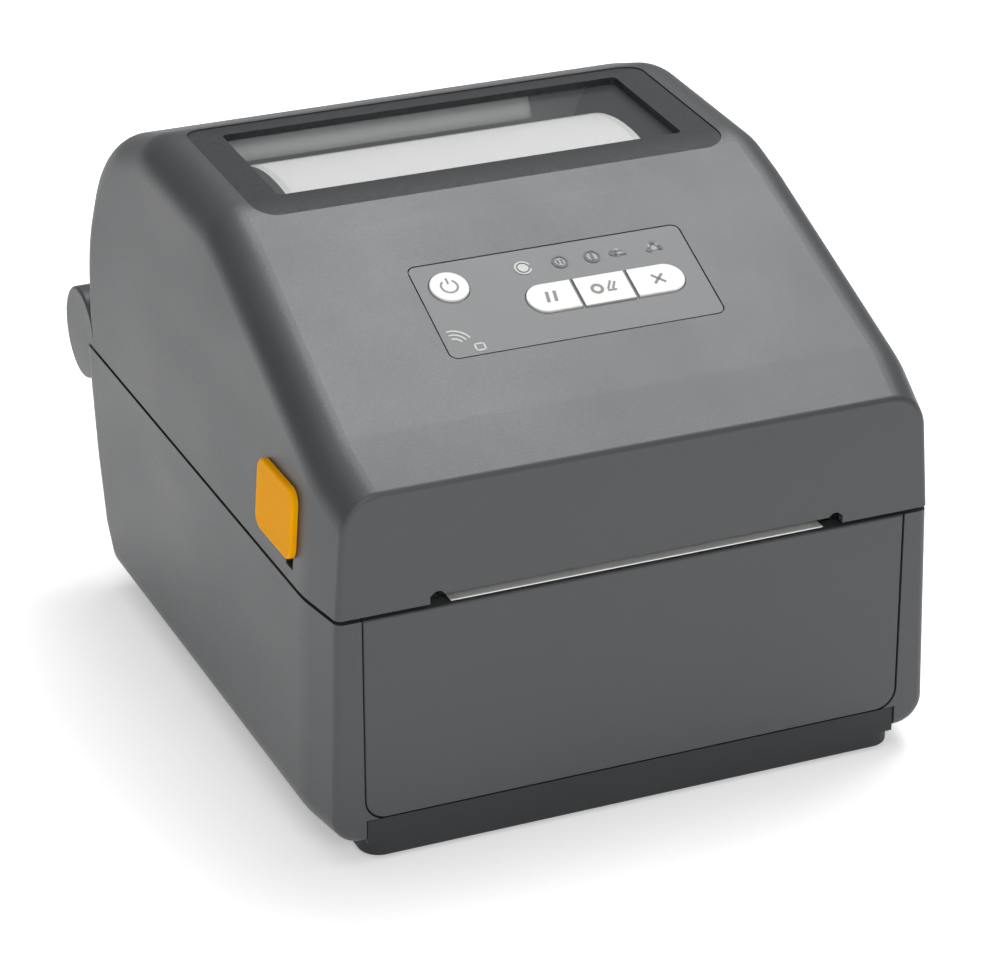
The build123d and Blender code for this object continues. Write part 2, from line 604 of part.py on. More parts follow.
with BuildPart() as gap_sensor:
    block(-6, 6, RAIL_Y - 2.5, RAIL_Y + 4.5, RAIL_Z - 3.5, DECK_Z + 0.2)
    rod_x(-7, 7, RAIL_Y, RAIL_Z, RAIL_R + 0.05, Mode.SUBTRACT)

STRIKE_OUT_X = 86.3
with BuildPart() as latch_strikes:
    for side in (-1, 1):
        rod_x(side * 79.5, side * STRIKE_OUT_X, -63.0, 60.5, 2.2)

# ---------------------------------------------------------------- paper
with BuildPart() as roll_core:
    rod_x(-MEDIA_W / 2, MEDIA_W / 2, ROLL_Y, ROLL_Z, CORE_R)
    rod_x(-MEDIA_W, MEDIA_W, ROLL_Y, ROLL_Z, CORE_BORE_R, Mode.SUBTRACT)

with BuildPart() as label_roll:
    rod_x(-MEDIA_W / 2, MEDIA_W / 2, ROLL_Y, ROLL_Z, ROLL_R)
    rod_x(-MEDIA_W, MEDIA_W, ROLL_Y, ROLL_Z, CORE_R, Mode.SUBTRACT)

web_gap = FIT + WEB_T / 2
span = math.hypot(BAR_Y - ROLL_Y, BAR_Z - ROLL_Z)
heading = math.degrees(math.atan2(BAR_Z - ROLL_Z, BAR_Y - ROLL_Y))
web_normal = heading + 360 - math.degrees(math.acos((ROLL_R + BAR_R + 2 * web_gap) / span))


def on_circle(y, z, radius, angle):
    """The point at an angle in degrees, from +Y towards +Z, on a circle about (y, z)."""
    return (y + radius * math.cos(math.radians(angle)), z + radius * math.sin(math.radians(angle)))


with BuildPart() as label_web:
    with BuildLine() as web_outline:
        for shift in (-WEB_T / 2, WEB_T / 2):
            bend_r = BAR_R + web_gap - shift
            bend_top = on_circle(BAR_Y, BAR_Z, bend_r, web_normal + 180)
            Line(on_circle(ROLL_Y, ROLL_Z, ROLL_R + web_gap + shift, web_normal), bend_top)
            CenterArc((BAR_Y, BAR_Z), bend_r, 270, web_normal + 180 - 270)
            Line((BAR_Y, BAR_Z - bend_r), (FRONT_Y + 0.2, BAR_Z - bend_r))
        Line(
            on_circle(ROLL_Y, ROLL_Z, ROLL_R + web_gap - WEB_T / 2, web_normal),
            on_circle(ROLL_Y, ROLL_Z, ROLL_R + web_gap + WEB_T / 2, web_normal),
        )
        Line((FRONT_Y + 0.2, WEB_Z - WEB_T / 2), (FRONT_Y + 0.2, WEB_Z + WEB_T / 2))
    with BuildSketch(Plane.YZ.offset(-MEDIA_W / 2)) as web_face:
        make_face(web_outline.edges())
    extrude(web_face.sketch, amount=MEDIA_W)

# ---------------------------------------------------------------- media guides
RACK_Y = MODULE * GUIDE_PINION_TEETH / 2
RACK_TOOTH_REACH = 40.0
GUIDE_FOOT_Y = 7.2
GUIDE_HUB_R = 12.3
GUIDE_DISC_R = 34.0


def media_guide(side):
    """A guide plate with its core hub, and under the tub its arm and rack."""
    y = ROLL_Y + side * GUIDE_FOOT_Y
    x_in = side * GUIDE_X
    x_out = side * (GUIDE_X + GUIDE_T)
    x0, x1 = sorted((x_in, x_out))
    far = -side * 14.0
    with BuildPart() as guide:
        rod_x(x0, x1, ROLL_Y, ROLL_Z, GUIDE_DISC_R)
        block(x0, x1, ROLL_Y - 16, ROLL_Y + 16, 17.6, ROLL_Z)
        rod_x(x_in, side * (GUIDE_X - 8), ROLL_Y, ROLL_Z, GUIDE_HUB_R)
        block(x0, x1, y - 1.6, y + 1.6, RACK_Z0, 18)
        rack_back = ROLL_Y + side * (RACK_Y + 1.2 * MODULE)
        rack_far = ROLL_Y + side * (RACK_Y + 1.2 * MODULE + 2.4)
        y0, y1 = sorted((rack_back, rack_far))
        block(min(far, x_out), max(far, x_out), y0, y1, RACK_Z0, RACK_Z1)
        step = RACK_TEETH_PITCH
        first = math.ceil(min(far, x_in) / step)
        last = math.floor(max(far, x_in) / step)
        for n in range(first, last + 1):
            # a tooth of the pinion points at each rack, so a gap of the rack is centred there
            x = (n + 0.5) * step
            if min(far, x_in) + 1 < x < max(far, x_in) - 1 and abs(x) < RACK_TOOTH_REACH:
                with Locations((x, ROLL_Y + side * (RACK_Y + 0.25 * MODULE), (RACK_Z0 + RACK_Z1) / 2)):
                    Box(0.36 * step, 1.9 * MODULE, RACK_Z1 - RACK_Z0)
    return guide


left_media_guide = media_guide(-1)
right_media_guide = media_guide(1)

with BuildPart() as guide_pinion:
    with BuildSketch(Plane.XY.offset(RACK_Z0)):
        with Locations((0, ROLL_Y)):
            add(gear_face(GUIDE_PINION_TEETH, 1.55, 90))
    extrude(amount=RACK_Z1 - RACK_Z0)

with BuildPart() as guide_pinion_post:
    rod_z(0, ROLL_Y, BASE_FLOOR + WALL, RACK_Z1 + 0.2, 1.5)


# ---------------------------------------------------------------- cover
POST_X, POST_Y, POST_R, POST_TOP = 60.0, -97.0, 4.0, 111.6
MOUNT_Z, MOUNT_T = 97.0, 2.0
BOARD_POSTS = ((-40.0, 18.0), (46.0, 18.0), (-40.0, 57.0), (46.0, 57.0))
BOARD_TOP = -6.8
SPRING_STOP_Y = -60.0


def latch_plane(side):
    """A plane on the leaning side wall at the latch's centre, local x to the rear, local y up."""
    lean = math.radians(COVER_LEAN)
    x = side * (HALF_W - (LATCH_Z - COVER_BOTTOM) * math.tan(lean))
    return Plane(
        origin=(x, LATCH_Y, LATCH_Z),
        x_dir=(0, side, 0),
        z_dir=(side * math.cos(lean), 0, math.sin(lean)),
    )


def slope_box(x0, x1, s0, s1, n0, n1, radius=0.0, mode=Mode.ADD):
    """A plate on the sloping face, between heights n0 and n1 above it."""
    with BuildSketch(slope_plane.offset(n0)) as plate:
        with Locations(((x0 + x1) / 2, (s0 + s1) / 2)):
            if radius:
                RectangleRounded(x1 - x0, s1 - s0, radius)
            else:
                Rectangle(x1 - x0, s1 - s0)
    extrude(plate.sketch, amount=n1 - n0, mode=mode)


def slope_pin(x, s, n0, n1, radius, mode=Mode.ADD):
    """A round pin square to the sloping face, between heights n0 and n1 above it."""
    with BuildSketch(slope_plane.offset(n0)) as spot:
        with Locations((x, s)):
            Circle(radius)
    extrude(spot.sketch, amount=n1 - n0, mode=mode)


def pill_face(x0, x1, grow):
    """The part of the pill-shaped key group between x0 and x1, grown all round by grow."""
    with BuildSketch() as key:
        with Locations(((PILL_X0 + PILL_X1) / 2, PILL_S)):
            SlotOverall(PILL_X1 - PILL_X0 + 2 * grow, PILL_H + 2 * grow)
        with Locations(((x0 + x1) / 2, PILL_S)):
            Rectangle(x1 - x0 + 2 * grow, PILL_H + 4, mode=Mode.INTERSECT)
    return key.sketch


PILL_SPANS = (
    (PILL_X0, PILL_CUTS[0] - PILL_GAP / 2),
    (PILL_CUTS[0] + PILL_GAP / 2, PILL_CUTS[1] - PILL_GAP / 2),
    (PILL_CUTS[1] + PILL_GAP / 2, PILL_X1),
)
KEY_GAP = 0.25
KEY_CENTRES = [(POWER_X, POWER_S)] + [((a + b) / 2, PILL_S) for a, b in PILL_SPANS]


def cut_keys(n0, n1):
    """Cut the holes that the keys and lenses pass through, between two heights."""
    slope_pin(POWER_X, POWER_S, n0, n1, POWER_R + KEY_GAP, Mode.SUBTRACT)
    with BuildSketch(slope_plane.offset(n0)) as holes:
        for x0, x1 in PILL_SPANS:
            add(pill_face(x0, x1, KEY_GAP))
        with Locations(*[(x, LENS_S) for x in LENS_X]):
            Circle(LENS_R)
    extrude(holes.sketch, amount=n1 - n0, mode=Mode.SUBTRACT)


def surround_prism(x_half, y0, y1, radius, mode):
    """An upright prism over the top window, for cutting or keeping."""
    with BuildSketch(Plane.XY.offset(120)) as outline:
        with Locations((0, (y0 + y1) / 2)):
            RectangleRounded(2 * x_half, y1 - y0, radius)
    extrude(outline.sketch, amount=50, mode=mode)


with BuildPart() as cover_shell:
    add(cover_outer)
    add(cover_inner, mode=Mode.SUBTRACT)
    surround_prism(SURROUND_X, SURROUND_Y0, SURROUND_Y1, 7.0, Mode.SUBTRACT)
    for x in (-POST_X, POST_X):
        rod_z(x, POST_Y, MOUNT_Z + MOUNT_T, POST_TOP, POST_R)
    slot_top = COVER_BOTTOM + 2.3
    block(-SLOT_HALF_W, SLOT_HALF_W, FRONT_Y - 1, FRONT_Y + 4, COVER_BOTTOM - 1, slot_top, Mode.SUBTRACT)
    for x in (-SLOT_HALF_W + SLOT_END_R, SLOT_HALF_W - SLOT_END_R):
        with Locations(Location((x, FRONT_Y + 1, COVER_BOTTOM + 1.2), (90, 0, 0))):
            Cylinder(SLOT_END_R, 6, mode=Mode.SUBTRACT)
    film_x0, film_x1 = OVERLAY_X0 - 0.4, OVERLAY_X1 + 0.4
    slope_box(film_x0, film_x1, OVERLAY_S0 - 0.4, OVERLAY_S1 + 0.4, -0.8, 2, 2.6, Mode.SUBTRACT)
    cut_keys(-4, 1)
    for x, s in BOARD_POSTS:
        slope_pin(x, s, BOARD_TOP, -1.5, 2.8)
    for side in (-1, 1):
        with BuildSketch(latch_plane(side).offset(-6)) as opening:
            with Locations((-side * 2.5, 0)):
                Rectangle(13.4, 9.2)
            with Locations((side * -8.5, -LATCH_H / 2 - 1.2)):
                Rectangle(5.0, 3.8)
        extrude(opening.sketch, amount=12, mode=Mode.SUBTRACT)
        rod_x(side * 79.2, side * 90, HINGE_Y, HINGE_Z, EAR_R + 0.7, Mode.SUBTRACT)
        rod_x(side * KNUCKLE_IN_X, side * KNUCKLE_OUT_X, HINGE_Y, HINGE_Z, KNUCKLE_R)
        rod_x(side * 60, side * 80, HINGE_Y, HINGE_Z, HINGE_PIN_R + 0.05, Mode.SUBTRACT)
        block(side * 80.6, side * 86.2, SPRING_STOP_Y, SPRING_STOP_Y + 2, 84, 94)

with BuildPart() as window_surround:
    add(cover_form(0.4))
    add(cover_inner, mode=Mode.SUBTRACT)
    surround_prism(SURROUND_X - 0.15, SURROUND_Y0 + 0.15, SURROUND_Y1 - 0.15, 6.8, Mode.INTERSECT)
    surround_prism(WINDOW_X, WINDOW_Y0, WINDOW_Y1, 1.5, Mode.SUBTRACT)

with BuildPart() as window_pane:
    add(cover_inner)
    add(cover_form(WALL + 1.6), mode=Mode.SUBTRACT)
    surround_prism(WINDOW_X + 4, WINDOW_Y0 - 4, WINDOW_Y1 + 4, 3.0, Mode.INTERSECT)

with BuildPart() as cover_liner:
    add(cover_form(WALL + 0.2))
    add(cover_form(WALL + 1.8), mode=Mode.SUBTRACT)
    block(-69.6, 69.6, 52, 120, 92, 160, Mode.INTERSECT)

with BuildPart() as control_overlay:
    slope_box(OVERLAY_X0, OVERLAY_X1, OVERLAY_S0, OVERLAY_S1, -0.8, -0.05, 2.2)
    cut_keys(-2, 1)


def finish_key(x, s):
    """The stem that carries a key's press down to its switch."""
    slope_pin(x, s, -5.0, -1.9, 1.6)


with BuildPart() as power_button:
    slope_pin(POWER_X, POWER_S, -2.0, BUTTON_PROUD, POWER_R)
    fillet(power_button.edges().sort_by(Axis.Z)[-1:], 0.4)
    finish_key(POWER_X, POWER_S)


def pill_key(index):
    """One key of the pill-shaped group, with its stem."""
    x0, x1 = PILL_SPANS[index]
    with BuildPart() as key:
        with BuildSketch(slope_plane.offset(-2.0)) as outline:
            add(pill_face(x0, x1, 0))
        extrude(outline.sketch, amount=2.0 + BUTTON_PROUD)
        top = key.faces().sort_by(Axis.Z)[-1]
        fillet(top.edges(), 0.35)
        finish_key((x0 + x1) / 2, PILL_S)
    return key


pause_button = pill_key(0)
feed_button = pill_key(1)
cancel_button = pill_key(2)

with BuildPart() as status_lenses:
    for x in LENS_X:
        slope_pin(x, LENS_S, -3.0, 0.05, LENS_R - 0.02)

with BuildPart() as control_board:
    slope_box(-44, 50, 14, 61, BOARD_TOP - 1.6, BOARD_TOP, 1.0)
    slope_box(-8, 10, 18, 26, BOARD_TOP - 3.2, BOARD_TOP - 1.6)

with BuildPart() as button_switches:
    for x, s in KEY_CENTRES:
        slope_box(x - 3, x + 3, s - 3, s + 3, BOARD_TOP, BOARD_TOP + 0.7)
        slope_pin(x, s, BOARD_TOP + 0.7, -5.8, 1.4)

with BuildPart() as board_screws:
    for x, s in BOARD_POSTS:
        slope_pin(x, s, BOARD_TOP - 2.8, BOARD_TOP - 1.6, 2.2)

# ---------------------------------------------------------------- release latches
SPRING_WIRE_R = 0.3


def latch_button(side):
    """The finger pad on the side wall, with the neck that passes through it."""
    plane = latch_plane(side)
    with BuildPart() as pad:
        with BuildSketch(plane.offset(0.15)) as outline:
            RectangleRounded(LATCH_L, LATCH_H, LATCH_CORNER_R)
        extrude(outline.sketch, amount=LATCH_PROUD - 0.15)
        top = pad.faces().sort_by(Axis.X)[0 if side < 0 else -1]
        fillet(top.edges(), 0.7)
        with BuildSketch(plane.offset(-2.6)) as neck:
            Rectangle(8.0, 8.0)
        extrude(neck.sketch, amount=3.2)
    return pad


def latch_hook(side):
    """The arm behind the wall that reaches down into the base, with its nose."""
    x0, x1 = side * 81.4, side * 84.2
    with BuildPart() as hook:
        block(x0, x1, LATCH_Y - 5, LATCH_Y + 5, 54.5, 97)
        prism_in_yz(
            [(LATCH_Y + 5, 54.5), (LATCH_Y + 8.6, 56.5), (LATCH_Y + 8.6, 58.0), (LATCH_Y + 5, 58.0)],
            min(x0, x1),
            max(x0, x1),
        )
    return hook


left_latch_button = latch_button(-1)
right_latch_button = latch_button(1)
left_latch_hook = latch_hook(-1)
right_latch_hook = latch_hook(1)


def coil(start, direction, length, radius, wire_r, turns):
    """A wound spring of round wire."""
    with BuildLine(mode=Mode.PRIVATE) as wire:
        Helix(pitch=length / turns, height=length, radius=radius, center=start, direction=direction)
    with BuildSketch(Plane(origin=wire.wires()[0] @ 0, z_dir=wire.wires()[0] % 0)) as section:
        Circle(wire_r)
    sweep(section.sketch, path=wire.wires()[0], is_frenet=True)


with BuildPart() as latch_springs:
    for side in (-1, 1):
        coil((side * 82.4, LATCH_Y + 5.6, 88), (0, 1, 0), 8.2, 1.3, SPRING_WIRE_R, 5)

# ---------------------------------------------------------------- print head
HEAD_PIN_X = 46.0
with BuildPart() as head_mount:
    block(-68, 68, -104, -90, MOUNT_Z, MOUNT_Z + 2)
    block(-68, 68, -90, -88, MOUNT_Z - 3, MOUNT_Z + 2)
    for side in (-1, 1):
        prism_in_yz(
            [(-90, MOUNT_Z), (-90, MOUNT_Z + 2), (-86, MOUNT_Z + 2), (-71, 80), (-72.5, 74.5), (-79.5, 74.5)],
            min(side * 57, side * 59),
            max(side * 57, side * 59),
        )
    rod_x(-58, 58, BAR_Y, BAR_Z, BAR_R)
    with Locations((-HEAD_PIN_X, -97, MOUNT_Z), (HEAD_PIN_X, -97, MOUNT_Z)):
        Cylinder(2.05, 8, mode=Mode.SUBTRACT)
    block(-20, 20, -99.5, -94.5, MOUNT_Z - 1, MOUNT_Z + 3, Mode.SUBTRACT)

with BuildPart() as head_bracket:
    block(-58, 58, -104, -90, 86.2, 87.8)
    block(-58, 58, -104, -102.6, 80, 86.2)

with BuildPart() as head_guide_pins:
    for x in (-HEAD_PIN_X, HEAD_PIN_X):
        rod_z(x, -97, 87.8, MOUNT_Z + 5, 2.0)

with BuildPart() as head_springs:
    for x in (-HEAD_PIN_X, HEAD_PIN_X):
        coil((x, -97, 88.2), (0, 0, 1), MOUNT_Z - 88.6, 3.2, 0.35, 5)

with BuildPart() as heat_sink:
    block(-56, 56, -102.6, -90, 76.0, 86.2)
    with GridLocations(8, 1, 13, 1):
        with Locations((0, -90.5, 83.6)):
            Box(3.0, 6, 5.4, mode=Mode.SUBTRACT)

with BuildPart() as print_head:
    block(-56, 56, -99, -90, 74.2, 76.0)
    rod_x(-54, 54, PLATEN_Y, 74.3, 0.4)

# ---------------------------------------------------------------- files
PIECES = {
    "base_shell": base_shell,
    "front_bezel": front_bezel,
    "bottom_plinth": bottom_plinth,
    "rubber_feet": rubber_feet,
    "base_screws": base_screws,
    "hinge_pins": hinge_pins,
    "media_tub": media_tub,
    "main_board": main_board,
    "port_board": port_board,
    "board_ribbon": board_ribbon,
    "rear_port_panel": rear_port_panel,
    "dc_inlet": dc_inlet,
    "usb_device_port": usb_device_port,
    "usb_host_port": usb_host_port,
    "network_port": network_port,
    "left_chassis_plate": left_chassis_plate,
    "right_chassis_plate": right_chassis_plate,
    "stepper_motor": stepper_motor,
    "motor_pinion": motor_pinion,
    "idler_gear": idler_gear,
    "gear_spindle": gear_spindle,
    "platen_gear": platen_gear,
    "platen_shaft": platen_shaft,
    "platen_roller": platen_roller,
    "platen_bearings": platen_bearings,
    "tear_bar": tear_bar,
    "sensor_rail": sensor_rail,
    "gap_sensor": gap_sensor,
    "latch_strikes": latch_strikes,
    "roll_core": roll_core,
    "label_roll": label_roll,
    "label_web": label_web,
    "left_media_guide": left_media_guide,
    "right_media_guide": right_media_guide,
    "guide_pinion": guide_pinion,
    "guide_pinion_post": guide_pinion_post,
    "cover_shell": cover_shell,
    "window_surround": window_surround,
    "window_pane": window_pane,
    "cover_liner": cover_liner,
    "control_overlay": control_overlay,
    "power_button": power_button,
    "pause_button": pause_button,
    "feed_button": feed_button,
    "cancel_button": cancel_button,
    "status_lenses": status_lenses,
    "control_board": control_board,
    "button_switches": button_switches,
    "board_screws": board_screws,
    "left_latch_button": left_latch_button,
    "right_latch_button": right_latch_button,
    "left_latch_hook": left_latch_hook,
    "right_latch_hook": right_latch_hook,
    "latch_springs": latch_springs,
    "head_mount": head_mount,
    "head_bracket": head_bracket,
    "head_guide_pins": head_guide_pins,
    "head_springs": head_springs,
    "heat_sink": heat_sink,
    "print_head": print_head,
}
for piece_name, piece in PIECES.items():
    write(piece, piece_name)
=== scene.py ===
"""The looks of the desktop label printer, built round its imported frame.

Everything is in metres, in the frame's own axes: +Z up, the paper leaves towards -Y.
"""

import json
import math

import bmesh
import bpy
from mathutils import Matrix, Vector


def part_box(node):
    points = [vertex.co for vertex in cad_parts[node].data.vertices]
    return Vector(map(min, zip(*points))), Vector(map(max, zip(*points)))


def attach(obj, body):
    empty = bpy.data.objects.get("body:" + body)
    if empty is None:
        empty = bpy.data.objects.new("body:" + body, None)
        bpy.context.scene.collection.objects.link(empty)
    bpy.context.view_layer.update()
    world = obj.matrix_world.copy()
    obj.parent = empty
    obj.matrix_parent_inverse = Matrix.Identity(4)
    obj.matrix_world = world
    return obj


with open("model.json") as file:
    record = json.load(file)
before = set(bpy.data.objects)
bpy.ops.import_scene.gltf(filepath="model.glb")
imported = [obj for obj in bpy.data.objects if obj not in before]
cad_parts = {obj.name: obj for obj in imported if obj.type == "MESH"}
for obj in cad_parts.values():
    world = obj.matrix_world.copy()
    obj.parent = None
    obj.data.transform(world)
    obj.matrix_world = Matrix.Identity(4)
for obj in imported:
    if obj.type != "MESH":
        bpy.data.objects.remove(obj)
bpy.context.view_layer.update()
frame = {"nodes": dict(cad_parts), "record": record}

MM = 0.001
NODES = frame["nodes"]
JOINTS = {joint["name"]: joint for joint in frame["record"]["behaviour"]["joints"]}

# ---------------------------------------------------------------- camera and studio
CAMERA_AZIMUTH = -23.24
CAMERA_ELEVATION = 25.72
CAMERA_ROLL = -0.10
CAMERA_DISTANCE = 1.123
CAMERA_SIDE = 0.0061
CAMERA_RISE = -0.0255
AIM_HEIGHT = 0.075
SENSOR_WIDTH = 36.0
LENS = 141.65


def make_camera():
    """The camera, aimed at the middle of the printer from its left front."""
    azimuth = math.radians(CAMERA_AZIMUTH)
    elevation = math.radians(CAMERA_ELEVATION)
    roll = math.radians(CAMERA_ROLL)
    back = Vector(
        (
            math.sin(azimuth) * math.cos(elevation),
            -math.cos(azimuth) * math.cos(elevation),
            math.sin(elevation),
        )
    )
    level = Vector((math.cos(azimuth), math.sin(azimuth), 0))
    upright = back.cross(level)
    right = level * math.cos(roll) + upright * math.sin(roll)
    up = upright * math.cos(roll) - level * math.sin(roll)
    data = bpy.data.cameras.new("camera")
    data.sensor_width = SENSOR_WIDTH
    data.lens = LENS
    data.clip_start = 0.05
    data.clip_end = 50.0
    camera = bpy.data.objects.new("camera", data)
    turn = Matrix((right, up, back)).transposed().to_4x4()
    place = back * CAMERA_DISTANCE + right * CAMERA_SIDE + up * CAMERA_RISE + Vector((0, 0, AIM_HEIGHT))
    camera.matrix_world = Matrix.Translation(place) @ turn
    bpy.context.scene.collection.objects.link(camera)
    bpy.context.scene.camera = camera


def softbox(name, place, target, width, height, power):
    """A rectangular area light at place, turned towards target."""
    data = bpy.data.lights.new(name, "AREA")
    data.shape = "RECTANGLE"
    data.size = width
    data.size_y = height
    data.energy = power
    light = bpy.data.objects.new(name, data)
    light.location = place
    light.rotation_mode = "QUATERNION"
    light.rotation_quaternion = (Vector(target) - Vector(place)).to_track_quat("-Z", "Y")
    bpy.context.scene.collection.objects.link(light)


# ---------------------------------------------------------------- material building blocks
NOISE_LOW, NOISE_HIGH = 0.3, 0.7


class Surface:
    """A material being built: a Principled shader and the nodes that feed it, in object coordinates."""

    def __init__(self, name, **values):
        self.material = bpy.data.materials.new(name)
        self.material.use_nodes = True
        self.tree = self.material.node_tree
        self.tree.nodes.clear()
        output = self.tree.nodes.new("ShaderNodeOutputMaterial")
        self.shader = self.tree.nodes.new("ShaderNodeBsdfPrincipled")
        self.tree.links.new(self.shader.outputs[0], output.inputs["Surface"])
        self.place = self.tree.nodes.new("ShaderNodeTexCoord").outputs["Object"]
        for key, value in values.items():
            self.shader.inputs[key.replace("_", " ")].default_value = value

    def node(self, kind, inputs=None, **settings):
        """A new node with its settings, and its inputs given as values or as other nodes' outputs."""
        made = self.tree.nodes.new(kind)
        for key, value in settings.items():
            setattr(made, key, value)
        for key, value in (inputs or {}).items():
            if isinstance(value, bpy.types.NodeSocket):
                self.tree.links.new(value, made.inputs[key])
            else:
                made.inputs[key].default_value = value
        return made

    def feed(self, socket, output):
        """Connect an output to one of the shader's sockets."""
        self.tree.links.new(output, self.shader.inputs[socket])

    def stretch(self, x=1.0, y=1.0, z=1.0):
        """Object coordinates scaled along each axis."""
        made = self.node("ShaderNodeMapping", {"Vector": self.place, "Scale": (x, y, z)})
        return made.outputs["Vector"]

    def noise(self, size, detail=2.0, roughness=0.5, vector=None):
        """Noise whose features are about size metres across, from 0 to 1."""
        inputs = {"Vector": vector or self.place, "Scale": 1 / size, "Detail": detail, "Roughness": roughness}
        return self.node("ShaderNodeTexNoise", inputs).outputs["Fac"]

    def cells(self, size, output="Distance"):
        """Voronoi cells about size metres across."""
        inputs = {"Vector": self.place, "Scale": 1 / size}
        return self.node("ShaderNodeTexVoronoi", inputs).outputs[output]

    def maths(self, operation, *values):
        """One arithmetic step."""
        made = self.node("ShaderNodeMath", operation=operation)
        for socket, value in zip(made.inputs, values):
            if isinstance(value, bpy.types.NodeSocket):
                self.tree.links.new(value, socket)
            else:
                socket.default_value = value
        return made.outputs[0]

    def spread(self, value, low, high, to_low=0.0, to_high=1.0):
        """A value's range from low to high mapped on to another, and held at its ends."""
        inputs = {0: value, 1: low, 2: high, 3: to_low, 4: to_high}
        return self.node("ShaderNodeMapRange", inputs).outputs[0]

    def vary(self, value, to_low=0.0, to_high=1.0):
        """The range that noise mostly keeps to, mapped on to another."""
        return self.spread(value, NOISE_LOW, NOISE_HIGH, to_low, to_high)

    def blend(self, factor, first, second):
        """A colour between two others."""
        made = self.node("ShaderNodeMix", {0: factor, 6: (*first, 1), 7: (*second, 1)}, data_type="RGBA")
        return made.outputs[2]

    def over(self, factor, under, top):
        """A colour laid over another colour output where factor is 1."""
        made = self.node("ShaderNodeMix", {0: factor, 6: under, 7: (*top, 1)}, data_type="RGBA")
        return made.outputs[2]

    def axis(self, name):
        """One of the object coordinates."""
        return self.node("ShaderNodeSeparateXYZ", {0: self.place}).outputs[name]

    def bump(self, height, distance, strength=1.0, under=None):
        """Relief of that many metres, and the normal it gives, laid over an earlier one."""
        inputs = {"Height": height, "Distance": distance, "Strength": strength}
        if under is not None:
            inputs["Normal"] = under
        return self.node("ShaderNodeBump", inputs).outputs["Normal"]


def shade(colour, factor):
    """A colour made darker or lighter."""
    return tuple(min(1.0, c * factor) for c in colour)


def moulded(name, colour, roughness, grain, depth, mottle=0.08, **values):
    """Moulded plastic with an eroded grain, faint flow marks and slightly uneven gloss."""
    surface = Surface(name, **values)
    flow = surface.noise(38 * MM, detail=3, vector=surface.stretch(1.0, 0.6, 1.4))
    fine = surface.noise(grain, detail=3, roughness=0.65)
    pits = surface.cells(grain * 1.6)
    colour_flow = surface.blend(surface.vary(flow), shade(colour, 1 - mottle), shade(colour, 1 + mottle))
    speck = surface.spread(fine, 0.62, 0.75, 0.0, 0.35)
    surface.feed("Base Color", surface.over(speck, colour_flow, shade(colour, 1.25)))
    gloss = surface.maths("ADD", surface.vary(flow, -0.03, 0.04), surface.vary(fine, -0.05, 0.05))
    surface.feed("Roughness", surface.maths("ADD", gloss, roughness))
    relief = surface.bump(pits, depth, 0.6)
    surface.feed("Normal", surface.bump(fine, depth, 0.8, relief))
    return surface.material


def metal(name, colour, roughness, along, depth=0.004 * MM, **values):
    """Bare metal with fine lines along one axis and cloudy patches."""
    surface = Surface(name, Metallic=1.0, **values)
    scales = {"x": (0.03, 1, 1), "y": (1, 0.03, 1), "z": (1, 1, 0.03), "all": (1, 1, 1)}[along]
    lines = surface.noise(0.5 * MM, detail=4, vector=surface.stretch(*scales))
    cloud = surface.noise(9 * MM, detail=3)
    surface.feed("Base Color", surface.blend(surface.vary(cloud), shade(colour, 0.88), shade(colour, 1.06)))
    uneven = surface.maths("ADD", surface.vary(lines, -0.07, 0.07), surface.vary(cloud, -0.04, 0.05))
    surface.feed("Roughness", surface.maths("ADD", uneven, roughness))
    surface.feed("Normal", surface.bump(lines, depth, 0.8))
    return surface.material


# ---------------------------------------------------------------- materials
CASE_GREY = (0.056, 0.060, 0.064)
FILM_GREY = (0.098, 0.103, 0.107)
SURROUND_GREY = (0.024, 0.026, 0.029)


def case_plastic():
    return moulded("case_plastic", CASE_GREY, 0.43, 0.42 * MM, 0.020 * MM, mottle=0.05)


def bezel_plastic():
    return moulded("bezel_plastic", shade(CASE_GREY, 0.97), 0.43, 0.42 * MM, 0.020 * MM, mottle=0.05)


def plinth_plastic():
    colour = shade(CASE_GREY, 0.50)
    return moulded("plinth_plastic", colour, 0.55, 0.6 * MM, 0.025 * MM, Specular_IOR_Level=0.30)


def inner_plastic():
    return moulded("inner_plastic", (0.020, 0.021, 0.023), 0.48, 0.5 * MM, 0.02 * MM)


def surround_plastic():
    """A darker, coarser grain than the case round it."""
    surface = Surface("surround_plastic", Specular_IOR_Level=0.32)
    coarse = surface.noise(1.5 * MM, detail=4, roughness=0.6)
    fine = surface.noise(0.4 * MM, detail=2)
    pebbles = surface.cells(1.1 * MM)
    tone = surface.spread(coarse, 0.35, 0.68)
    surface.feed("Base Color", surface.blend(tone, shade(SURROUND_GREY, 0.75), shade(SURROUND_GREY, 1.45)))
    surface.feed("Roughness", surface.vary(coarse, 0.52, 0.72))
    relief = surface.bump(pebbles, 0.05 * MM, 0.7)
    surface.feed("Normal", surface.bump(fine, 0.02 * MM, 0.6, relief))
    return surface.material


def clear_window():
    """Clear sheet with a trace of moulding waviness."""
    surface = Surface("clear_window", Alpha=0.13, IOR=1.49)
    surface.shader.inputs["Base Color"].default_value = (0.30, 0.32, 0.33, 1)
    surface.feed("Roughness", surface.vary(surface.noise(12 * MM), 0.02, 0.07))
    surface.feed("Normal", surface.bump(surface.noise(30 * MM), 0.05 * MM, 0.4))
    return surface.material


def liner_plastic():
    return moulded("liner_plastic", (0.82, 0.83, 0.82), 0.46, 0.6 * MM, 0.02 * MM, mottle=0.03)


